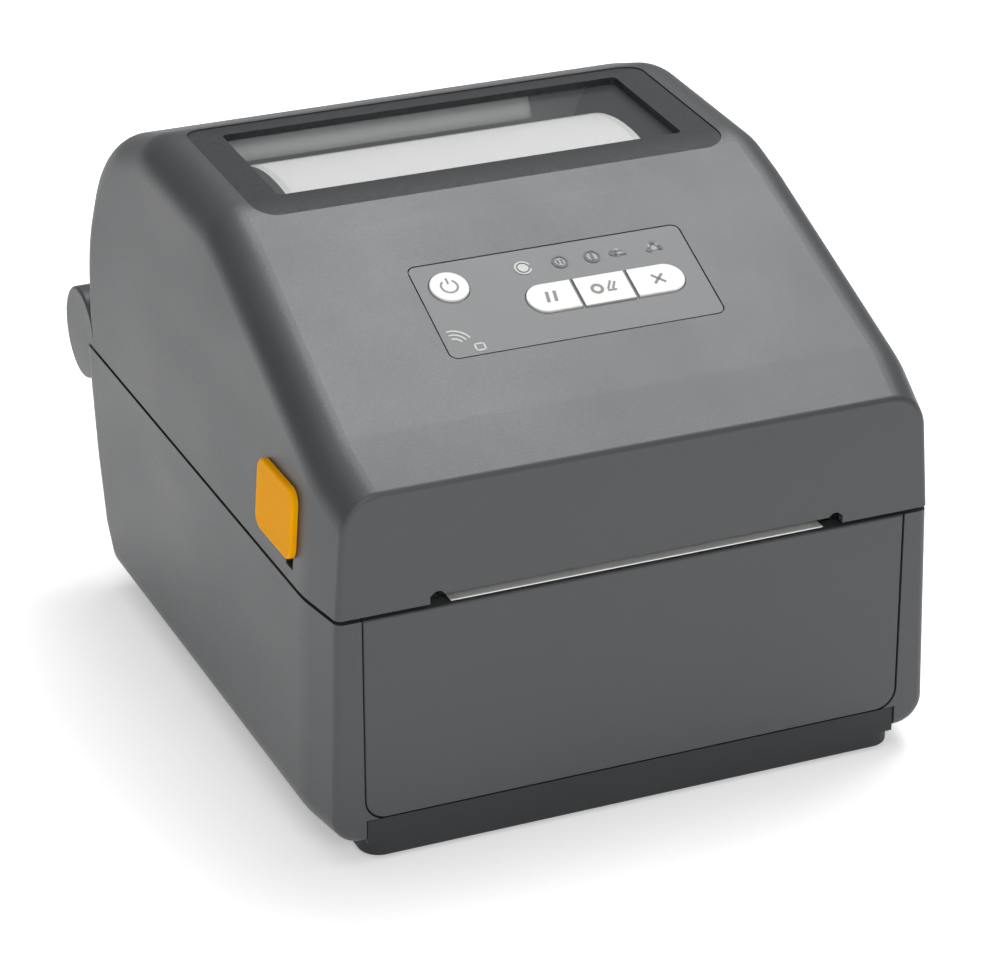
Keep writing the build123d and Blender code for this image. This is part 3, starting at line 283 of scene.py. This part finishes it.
def overlay_film():
    """Velvet-finish film, a little lighter than the case."""
    surface = Surface("overlay_film")
    velvet = surface.noise(0.22 * MM, detail=2)
    ripple = surface.noise(22 * MM, detail=2)
    tone = surface.blend(surface.vary(ripple), shade(FILM_GREY, 0.97), shade(FILM_GREY, 1.04))
    glint = surface.spread(velvet, 0.55, 0.8, 0, 0.2)
    surface.feed("Base Color", surface.over(glint, tone, shade(FILM_GREY, 1.3)))
    surface.feed("Roughness", surface.vary(velvet, 0.38, 0.52))
    surface.feed("Normal", surface.bump(velvet, 0.006 * MM, 0.6))
    return surface.material


def key_white():
    return moulded("key_white", (0.68, 0.68, 0.668), 0.42, 0.3 * MM, 0.006 * MM, mottle=0.015)


def latch_orange():
    colour = (0.97, 0.41, 0.001)
    finish = {"mottle": 0.03, "Specular_IOR_Level": 0.03}
    return moulded("latch_orange", colour, 0.55, 0.45 * MM, 0.010 * MM, **finish)


def lens_clear():
    """Smoked light pipes flush with the film."""
    surface = Surface("lens_clear", IOR=1.5)
    smoke = surface.noise(1.2 * MM)
    surface.feed("Base Color", surface.blend(smoke, shade(FILM_GREY, 0.72), shade(FILM_GREY, 0.95)))
    surface.feed("Roughness", surface.vary(surface.noise(0.8 * MM), 0.16, 0.28))
    return surface.material


def rubber(name, colour, lines):
    """Matt rubber, with grinding lines along X if asked."""
    surface = Surface(name, Specular_IOR_Level=0.35)
    bloom = surface.noise(6 * MM, detail=4)
    fine = surface.noise(0.25 * MM, detail=2, vector=surface.stretch(6, 1, 1) if lines else None)
    surface.feed("Base Color", surface.blend(surface.spread(bloom, 0.35, 0.75), colour, shade(colour, 1.7)))
    surface.feed("Roughness", surface.vary(fine, 0.62, 0.82))
    surface.feed("Normal", surface.bump(fine, 0.03 * MM, 0.7))
    return surface.material


def foot_rubber():
    return rubber("foot_rubber", (0.018, 0.018, 0.019), False)


def platen_rubber():
    return rubber("platen_rubber", (0.025, 0.025, 0.027), True)


# Added to a distance along a strip, in metres, so that it is never negative
STRIPE_SHIFT = 1.0
LABEL_PITCH = 53.0 * MM
LABEL_GAP = 3.0 * MM
LINER_MARGIN = 2.0 * MM
PAPER_WHITE = (0.80, 0.80, 0.785)
LINER_WHITE = (0.66, 0.665, 0.64)


def stripe(surface, distance, pitch, width):
    """1 in a band of that width once every pitch, and 0 between."""
    turn = surface.maths("FRACT", surface.maths("DIVIDE", distance, pitch))
    return surface.maths("LESS_THAN", turn, width / pitch)


def paper_colour(surface, along, half_width):
    """Blank die-cut labels on their backing: gaps along the strip, and a margin at each edge."""
    fibre = surface.noise(0.7 * MM, detail=4, vector=surface.stretch(0.35, 1, 1))
    cloud = surface.noise(14 * MM, detail=2)
    paper = surface.blend(surface.vary(fibre), shade(PAPER_WHITE, 0.965), PAPER_WHITE)
    gap = stripe(surface, along, LABEL_PITCH, LABEL_GAP)
    side = surface.maths("ABSOLUTE", surface.axis("X"))
    margin = surface.maths("GREATER_THAN", side, half_width - LINER_MARGIN)
    backing = surface.maths("MAXIMUM", gap, margin)
    surface.feed("Roughness", surface.vary(cloud, 0.5, 0.62))
    raised = surface.maths("SUBTRACT", 1.0, backing)
    relief = surface.bump(raised, 0.08 * MM, 0.8)
    return surface.over(backing, paper, LINER_WHITE), surface.bump(fibre, 0.006 * MM, 0.5, relief)


def roll_paper():
    """The wound roll: labels round the outside, and the edges of its layers on each end."""
    low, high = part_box("label_roll")
    centre = (low + high) / 2
    half_width = (high.x - low.x) / 2
    radius = (high.z - low.z) / 2
    surface = Surface("roll_paper")
    across = surface.maths("SUBTRACT", surface.axis("Y"), centre.y)
    above = surface.maths("SUBTRACT", surface.axis("Z"), centre.z)
    angle = surface.maths("ARCTAN2", above, across)
    along = surface.maths("MULTIPLY", angle, radius)
    labels, label_normal = paper_colour(surface, surface.maths("ADD", along, STRIPE_SHIFT), half_width)
    squares = [surface.maths("POWER", side, 2) for side in (across, above)]
    distance = surface.maths("SQRT", surface.maths("ADD", *squares))
    layer = surface.node("ShaderNodeCombineXYZ", {0: distance}).outputs[0]
    layers = surface.noise(0.35 * MM, detail=3, vector=layer)
    bands = surface.noise(4 * MM, detail=3, vector=layer)
    edge_tone = surface.blend(surface.spread(layers, 0.35, 0.65), (0.50, 0.50, 0.48), (0.74, 0.74, 0.72))
    edge_tone = surface.over(surface.spread(bands, 0.5, 0.7, 0, 0.35), edge_tone, (0.46, 0.46, 0.43))
    end = surface.maths("GREATER_THAN", surface.maths("ABSOLUTE", surface.axis("X")), half_width - 0.02 * MM)
    mixed = surface.node("ShaderNodeMix", {0: end, 6: labels, 7: edge_tone}, data_type="RGBA").outputs[2]
    surface.feed("Base Color", mixed)
    surface.feed("Normal", surface.bump(layers, 0.02 * MM, 0.5, label_normal))
    return surface.material


def web_paper():
    """The strip on its way to the slot."""
    low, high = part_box("label_web")
    surface = Surface("web_paper")
    along = surface.maths("ADD", surface.axis("Y"), STRIPE_SHIFT)
    colour, normal = paper_colour(surface, along, (high.x - low.x) / 2)
    surface.feed("Base Color", colour)
    surface.feed("Normal", normal)
    return surface.material


def core_board():
    """Wound grey-brown board with its spiral seam."""
    surface = Surface("core_board")
    fibre = surface.noise(0.8 * MM, detail=5, vector=surface.stretch(0.3, 1, 1))
    tone = surface.blend(surface.vary(fibre), (0.30, 0.21, 0.12), (0.50, 0.37, 0.23))
    seam = stripe(surface, surface.maths("ADD", surface.axis("X"), surface.axis("Y")), 38 * MM, 0.4 * MM)
    surface.feed("Base Color", surface.over(seam, tone, (0.20, 0.14, 0.08)))
    surface.feed("Normal", surface.bump(fibre, 0.03 * MM, 0.7))
    surface.shader.inputs["Roughness"].default_value = 0.85
    return surface.material


def plate_steel():
    """Zinc-plated sheet with a faint spangle."""
    surface = Surface("plate_steel", Metallic=1.0)
    spangle = surface.cells(6 * MM, output="Color")
    grey = surface.node("ShaderNodeRGBToBW", {0: spangle}).outputs[0]
    rolled = surface.noise(0.4 * MM, detail=4, vector=surface.stretch(0.04, 1, 1))
    surface.feed("Base Color", surface.blend(grey, (0.50, 0.51, 0.52), (0.66, 0.67, 0.68)))
    gloss = surface.spread(grey, 0, 1, 0.28, 0.42)
    surface.feed("Roughness", surface.maths("ADD", gloss, surface.vary(rolled, -0.05, 0.05)))
    surface.feed("Normal", surface.bump(rolled, 0.004 * MM, 0.7))
    return surface.material


def shaft_steel():
    return metal("shaft_steel", (0.62, 0.62, 0.63), 0.22, "all")


def spring_steel():
    return metal("spring_steel", (0.42, 0.42, 0.43), 0.30, "all")


def screw_steel():
    return metal("screw_steel", (0.36, 0.37, 0.38), 0.34, "all")


def motor_case():
    return moulded("motor_case", (0.016, 0.016, 0.018), 0.34, 0.5 * MM, 0.006 * MM)


def gear_plastic():
    colour = (0.68, 0.66, 0.58)
    return moulded("gear_plastic", colour, 0.33, 0.7 * MM, 0.004 * MM, mottle=0.03, Subsurface_Weight=0.05)


TRACE_PITCH_X = 1.6 * MM
TRACE_PITCH_Y = 2.1 * MM
TRACE_WIDTH = 0.5 * MM
TRACE_WANDER = 6 * MM


def board_green():
    """Solder mask over copper traces, with tinned pads."""
    surface = Surface("board_green")
    warp = surface.maths("MULTIPLY", surface.noise(9 * MM, detail=1), TRACE_WANDER)
    pick = surface.spread(surface.noise(17 * MM, detail=1), 0.49, 0.51)
    ways = (("X", TRACE_PITCH_X, pick), ("Y", TRACE_PITCH_Y, surface.maths("SUBTRACT", 1.0, pick)))
    runs = []
    for name, pitch, here in ways:
        lines = stripe(surface, surface.maths("ADD", surface.axis(name), warp), pitch, TRACE_WIDTH)
        runs.append(surface.maths("MULTIPLY", lines, here))
    traces = surface.maths("MAXIMUM", *runs)
    mask = surface.blend(traces, (0.010, 0.075, 0.035), (0.022, 0.135, 0.062))
    pads = surface.maths("LESS_THAN", surface.cells(3.4 * MM), 0.13)
    surface.feed("Base Color", surface.over(pads, mask, (0.62, 0.60, 0.52)))
    surface.feed("Metallic", pads)
    surface.feed("Roughness", surface.vary(surface.noise(2 * MM), 0.22, 0.36))
    surface.feed("Normal", surface.bump(surface.maths("MAXIMUM", traces, pads), 0.03 * MM, 0.7))
    return surface.material


def port_shell():
    return metal("port_shell", (0.66, 0.66, 0.67), 0.25, "y")


def port_plastic():
    return moulded("port_plastic", (0.018, 0.018, 0.020), 0.32, 0.4 * MM, 0.004 * MM)


def head_aluminium():
    return metal("head_aluminium", (0.74, 0.75, 0.76), 0.34, "x", 0.010 * MM)


def head_ceramic():
    colour = (0.72, 0.69, 0.60)
    return moulded("head_ceramic", colour, 0.16, 0.8 * MM, 0.002 * MM, mottle=0.03, Coat_Weight=0.5)


def ribbon_film():
    """Flat cable: tinned conductors showing through its film."""
    surface = Surface("ribbon_film")
    wires = stripe(surface, surface.maths("ADD", surface.axis("X"), STRIPE_SHIFT), 1.0 * MM, 0.55 * MM)
    surface.feed("Base Color", surface.blend(wires, (0.72, 0.73, 0.74), (0.40, 0.41, 0.42)))
    surface.feed("Roughness", surface.vary(surface.noise(4 * MM), 0.25, 0.4))
    surface.feed("Normal", surface.bump(wires, 0.05 * MM, 0.8))
    return surface.material


def bush_plastic():
    return moulded("bush_plastic", (0.055, 0.055, 0.058), 0.42, 0.5 * MM, 0.006 * MM)


def printed_ink(name, colour):
    """Screen-printed ink, slightly uneven."""
    surface = Surface(name)
    body = surface.noise(0.6 * MM, detail=3)
    surface.feed("Base Color", surface.blend(surface.vary(body), shade(colour, 0.9), shade(colour, 1.06)))
    surface.feed("Roughness", surface.vary(body, 0.42, 0.58))
    surface.feed("Normal", surface.bump(body, 0.003 * MM, 0.6))
    return surface.material


def gold_contact():
    return metal("gold_contact", (0.80, 0.58, 0.22), 0.24, "y")


BUILDERS = (
    case_plastic,
    bezel_plastic,
    plinth_plastic,
    inner_plastic,
    surround_plastic,
    clear_window,
    liner_plastic,
    overlay_film,
    key_white,
    latch_orange,
    lens_clear,
    foot_rubber,
    platen_rubber,
    core_board,
    plate_steel,
    shaft_steel,
    spring_steel,
    screw_steel,
    motor_case,
    gear_plastic,
    board_green,
    port_shell,
    port_plastic,
    head_aluminium,
    head_ceramic,
    ribbon_film,
    bush_plastic,
)
MATERIALS = {builder.__name__: builder() for builder in BUILDERS}


def dress_nodes():
    """Give every CAD node the material of its slot."""
    paper = {"label_roll": roll_paper(), "label_web": web_paper()}
    for subpart in frame["record"]["subparts"]:
        name = subpart["node"]
        material = paper.get(name) or MATERIALS[subpart["material_slot"]]
        for socket in NODES[name].material_slots:
            socket.material = material


# ---------------------------------------------------------------- drawing on the sloping face
key_axis = Vector(JOINTS["power_press"]["axis"]).normalized()
OUT = -key_axis
ACROSS = Vector((1, 0, 0))
UPHILL = OUT.cross(ACROSS)
INK_LIFT = 0.01 * MM
INK_THICKNESS = 0.04 * MM
MARK_SCALE = 1.3


def points_of(node):
    """The vertices of a CAD node at rest."""
    return [vertex.co.copy() for vertex in NODES[node].data.vertices]


def face_centre(points):
    """The middle of the highest face above the slope, as a point, with its half sizes across and uphill."""
    top = max(p.dot(OUT) for p in points)
    face = [p for p in points if top - p.dot(OUT) < 0.6 * MM]
    across = [p.dot(ACROSS) for p in face]
    uphill = [p.dot(UPHILL) for p in face]
    middle_x = (min(across) + max(across)) / 2
    middle_s = (min(uphill) + max(uphill)) / 2
    half = ((max(across) - min(across)) / 2, (max(uphill) - min(uphill)) / 2)
    return ACROSS * middle_x + UPHILL * middle_s + OUT * top, half


def arc_band(x, y, inner, outer, start, end, steps=24):
    """The outline of a ring or part of one, angles in degrees."""
    turn = [math.radians(start + (end - start) * i / steps) for i in range(steps + 1)]
    rim = [(x + outer * math.cos(a), y + outer * math.sin(a)) for a in turn]
    bore = [(x + inner * math.cos(a), y + inner * math.sin(a)) for a in reversed(turn)]
    return rim + bore


def ring(x, y, inner, outer):
    """The outline of a whole ring."""
    return arc_band(x, y, inner, outer, 0, 360, 32)


def bar(x, y, length, width, angle=0.0):
    """The outline of a straight stroke centred on a point."""
    turn = math.radians(angle)
    along_x, along_y = math.cos(turn) * length / 2, math.sin(turn) * length / 2
    side_x, side_y = -math.sin(turn) * width / 2, math.cos(turn) * width / 2
    corners = ((-1, -1), (1, -1), (1, 1), (-1, 1))
    return [(x + i * along_x + j * side_x, y + i * along_y + j * side_y) for i, j in corners]


def disc(x, y, radius, steps=20):
    """The outline of a filled circle."""
    turns = [math.tau * i / steps for i in range(steps)]
    return [(x + radius * math.cos(turn), y + radius * math.sin(turn)) for turn in turns]


def printed(name, outlines, centre, material, body):
    """Printed marks: each outline, in millimetres about centre, as a thin raised layer of ink."""
    mesh = bmesh.new()
    for outline in outlines:
        rings = []
        for height in (INK_LIFT, INK_LIFT + INK_THICKNESS):
            places = [centre + (ACROSS * x + UPHILL * y) * MARK_SCALE * MM + OUT * height for x, y in outline]
            rings.append([mesh.verts.new(p) for p in places])
        mesh.faces.new(rings[1])
        mesh.faces.new(list(reversed(rings[0])))
        for i in range(len(outline)):
            j = (i + 1) % len(outline)
            mesh.faces.new((rings[0][i], rings[0][j], rings[1][j], rings[1][i]))
    return finish_mesh(name, mesh, material, body)


def finish_mesh(name, mesh, material, body, smooth=False):
    """Turn a bmesh into a piece with its material, riding on a body."""
    bmesh.ops.recalc_face_normals(mesh, faces=mesh.faces)
    data = bpy.data.meshes.new(name)
    mesh.to_mesh(data)
    mesh.free()
    data.materials.append(material)
    if smooth:
        for polygon in data.polygons:
            polygon.use_smooth = True
    piece = bpy.data.objects.new(name, data)
    bpy.context.scene.collection.objects.link(piece)
    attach(piece, body)
    return piece


KEY_INK = printed_ink("key_ink", (0.16, 0.165, 0.17))
DARK_INK = printed_ink("dark_ink", (0.060, 0.064, 0.068))
PALE_INK = printed_ink("pale_ink", (0.50, 0.51, 0.49))


def key_marks():
    """Generic marks on the four keys: power, pause, feed and cancel."""
    power = [arc_band(0, 0, 1.55, 2.0, 125, 415), bar(0, 1.5, 1.7, 0.45, 90)]
    pause = [bar(-0.85, 0, 3.0, 0.75, 80), bar(0.85, 0, 3.0, 0.75, 80)]
    feed = [ring(-1.6, 0, 0.75, 1.45), bar(1.3, 0.55, 2.6, 0.5, 60), bar(2.3, 0.35, 2.2, 0.5, 60)]
    feed += [bar(1.5, -0.95, 2.0, 0.5)]
    cancel = [bar(0, 0, 3.5, 0.6, 45), bar(0, 0, 3.5, 0.6, -45)]
    marks = {"power": power, "pause": pause, "feed": feed, "cancel": cancel}
    for word, outlines in marks.items():
        centre = face_centre(points_of(f"{word}_button"))[0]
        printed(f"{word}_mark", outlines, centre, KEY_INK, f"{word}_key")


def lens_centres():
    """The middle of each status lens, from left to right."""
    groups = []
    for point in sorted(points_of("status_lenses"), key=lambda p: p.x):
        if not groups or point.x - groups[-1][-1].x > 2 * MM:
            groups.append([])
        groups[-1].append(point)
    return [face_centre(group)[0] for group in groups]


def status_marks():
    """Five generic status symbols over their light pipes."""
    ready = [disc(0, 0, 1.15), arc_band(0, 0, 1.5, 1.9, 20, 340)]
    paused = [ring(0, 0, 1.35, 1.8), bar(-0.45, 0, 1.3, 0.4, 90), bar(0.45, 0, 1.3, 0.4, 90)]
    data = [ring(0, 0, 1.35, 1.8), bar(0, 0, 2.0, 0.6, 90)]
    supplies = [disc(-0.9, 0, 0.9), bar(0.6, -0.7, 2.6, 0.45), bar(0.5, 0.35, 1.8, 0.45)]
    network = [disc(-1.2, -0.8, 0.65), disc(0.1, 0.9, 0.65), disc(1.4, -0.6, 0.65)]
    network += [bar(-0.5, 0.1, 1.9, 0.35, 52), bar(0.75, 0.1, 1.9, 0.35, -52)]
    symbols = {"ready": ready, "paused": paused, "data": data, "supplies": supplies, "network": network}
    for (word, outlines), centre in zip(symbols.items(), lens_centres()):
        ink = PALE_INK if word == "ready" else DARK_INK
        printed(f"status_{word}_mark", outlines, centre, ink, "cover")


def wireless_mark():
    """A small generic mark at the film's lower left: three waves beside a card."""
    centre, half = face_centre(points_of("control_overlay"))
    corner = centre - ACROSS * (half[0] - 6.2 * MM) - UPHILL * (half[1] - 5.4 * MM)
    waves = [arc_band(-2.6, -0.6, inner, inner + 0.4, 20, 100) for inner in (1.5, 2.6, 3.7)]
    card = [bar(2.2, y, 2.4, 0.4) for y in (-1.2, -3.0)] + [bar(x, -2.1, 2.2, 0.4, 90) for x in (1.2, 3.2)]
    printed("wireless_mark", waves + card, corner, PALE_INK, "cover")


# ---------------------------------------------------------------- contacts in the sockets, in mm
NETWORK_CONTACTS = 8
NETWORK_PITCH = 1.02
NETWORK_MOUTH_TOP = 10.4
NETWORK_WIDTH, NETWORK_THICKNESS = 0.45, 0.2
# Each point is how far it lies in from the rear face, and how far below the mouth's top
NETWORK_PATH = ((9.6, 1.0), (3.0, 0.5), (2.2, 0.9), (7.8, 4.2))
# Each serial socket's node, its contacts, their pitch and the height of its tongue
SERIAL_SOCKETS = (("usb_host_port", 4, 2.3, 4.0), ("usb_device_port", 2, 2.4, 6.4))
SERIAL_WIDTH, SERIAL_THICKNESS = 1.1, 0.12
# Each point is how far it lies in from the rear face, and how far above the contact's flat
SERIAL_PATH = ((8.5, 0.0), (2.4, 0.0), (2.0, 0.08))


def strip(mesh, x, width, path, thickness):
    """A bent metal strip: a path of (y, z) points given a width along X and a thickness upwards."""
    rows = []
    for y, z in path:
        row = []
        for dx, dz in ((-1, 0), (1, 0), (1, 1), (-1, 1)):
            row.append(mesh.verts.new((x + dx * width / 2, y, z + dz * thickness)))
        rows.append(row)
    for first, second in zip(rows, rows[1:]):
        for i in range(4):
            j = (i + 1) % 4
            mesh.faces.new((first[i], first[j], second[j], second[i]))
    mesh.faces.new(rows[0])
    mesh.faces.new(list(reversed(rows[-1])))


def socket_contacts():
    """Sprung contacts in the network socket, and flat ones on the tongues of the two serial sockets."""
    gold = gold_contact()
    low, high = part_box("network_port")
    middle = (low.x + high.x) / 2
    mouth_top = low.z + NETWORK_MOUTH_TOP * MM
    path = [(high.y - inward * MM, mouth_top - down * MM) for inward, down in NETWORK_PATH]
    mesh = bmesh.new()
    for n in range(NETWORK_CONTACTS):
        x = middle + (n - (NETWORK_CONTACTS - 1) / 2) * NETWORK_PITCH * MM
        strip(mesh, x, NETWORK_WIDTH * MM, path, NETWORK_THICKNESS * MM)
    finish_mesh("network_contacts", mesh, gold, "base")
    for name, count, pitch, tongue_z in SERIAL_SOCKETS:
        low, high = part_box(name)
        middle = (low.x + high.x) / 2
        flat = low.z + tongue_z * MM - SERIAL_THICKNESS * MM
        path = [(high.y - inward * MM, flat + up * MM) for inward, up in SERIAL_PATH]
        mesh = bmesh.new()
        for n in range(count):
            x = middle + (n - (count - 1) / 2) * pitch * MM
            strip(mesh, x, SERIAL_WIDTH * MM, path, SERIAL_THICKNESS * MM)
        finish_mesh(name.replace("port", "contacts"), mesh, gold, "base")


# ---------------------------------------------------------------- the light panel behind the roll, in mm
PANEL_LEFT, PANEL_RIGHT = -64.0, 39.0
PANEL_PROFILE = ((47.6, 138.4), (49.2, 141.2), (51.2, 143.4), (53.4, 144.6))
PANEL_THICKNESS = 0.8
PANEL_END_R = 4.0
PANEL_END_SWEEP = 0.5
PANEL_STEPS = 12


def rear_panel():
    """The pale inner panel seen over the roll: a curved sheet with a rounded right end, on the cover."""
    mesh = bmesh.new()
    straight = PANEL_RIGHT - PANEL_LEFT - PANEL_END_R
    columns = [PANEL_LEFT + straight * i / PANEL_STEPS for i in range(PANEL_STEPS + 1)]
    columns += [PANEL_RIGHT - PANEL_END_R * (1 - math.sin(math.radians(a))) for a in (30, 60, 90)]
    grid = []
    for x in columns:
        past = max(0.0, x - (PANEL_RIGHT - PANEL_END_R))
        drop = (PANEL_END_R - math.sqrt(max(0.0, PANEL_END_R**2 - past**2))) * PANEL_END_SWEEP
        front = [mesh.verts.new((x * MM, (y + drop) * MM, z * MM)) for y, z in PANEL_PROFILE]
        back = [mesh.verts.new((x * MM, (y + drop + PANEL_THICKNESS) * MM, z * MM)) for y, z in PANEL_PROFILE]
        grid.append(front + back[::-1])
    for first, second in zip(grid, grid[1:]):
        for i in range(len(first)):
            j = (i + 1) % len(first)
            mesh.faces.new((first[i], first[j], second[j], second[i]))
    mesh.faces.new(grid[0])
    mesh.faces.new(grid[-1][::-1])
    finish_mesh("rear_window_panel", mesh, MATERIALS["liner_plastic"], "cover", smooth=True)


# ---------------------------------------------------------------- the scene
FLOOR_SIZE = 14.0
FLOOR_GLOW = 0.38
WORLD_STRENGTH = 0.21
# Each light's name, place, target, width, height and power in watts
SOFTBOXES = (
    ("overhead", (0.50, 0.45, 1.45), (0, 0, 0.05), 1.0, 0.9, 20),
    ("ceiling", (0, 0, 2.6), (0, 0, 0), 3.2, 3.2, 22),
    ("front", (-0.2, -1.6, 0.95), (0, 0, 0.06), 0.9, 0.6, 9),
)


def make_floor():
    """A pale floor that runs on well past the view."""
    mesh = bmesh.new()
    bmesh.ops.create_grid(mesh, x_segments=8, y_segments=8, size=FLOOR_SIZE / 2)
    data = bpy.data.meshes.new("floor")
    mesh.to_mesh(data)
    mesh.free()
    surface = Surface("floor_white")
    cloud = surface.noise(0.4, detail=2)
    surface.feed("Base Color", surface.blend(cloud, (0.90, 0.90, 0.90), (0.93, 0.93, 0.93)))
    surface.shader.inputs["Roughness"].default_value = 0.7
    surface.shader.inputs["Emission Color"].default_value = (1.0, 1.0, 1.0, 1)
    surface.shader.inputs["Emission Strength"].default_value = FLOOR_GLOW
    data.materials.append(surface.material)
    floor = bpy.data.objects.new("floor", data)
    bpy.context.scene.collection.objects.link(floor)


def make_light():
    """Dim even surroundings, a bright light above and behind, a broad ceiling and a low front fill."""
    world = bpy.data.worlds.new("studio")
    world.use_nodes = True
    background = world.node_tree.nodes["Background"]
    background.inputs["Color"].default_value = (1.0, 1.0, 1.0, 1)
    background.inputs["Strength"].default_value = WORLD_STRENGTH
    bpy.context.scene.world = world
    for light in SOFTBOXES:
        softbox(*light)


dress_nodes()
key_marks()
status_marks()
wireless_mark()
socket_contacts()
rear_panel()
make_floor()
make_light()
make_camera()
bpy.context.scene.view_settings.view_transform = "Standard"
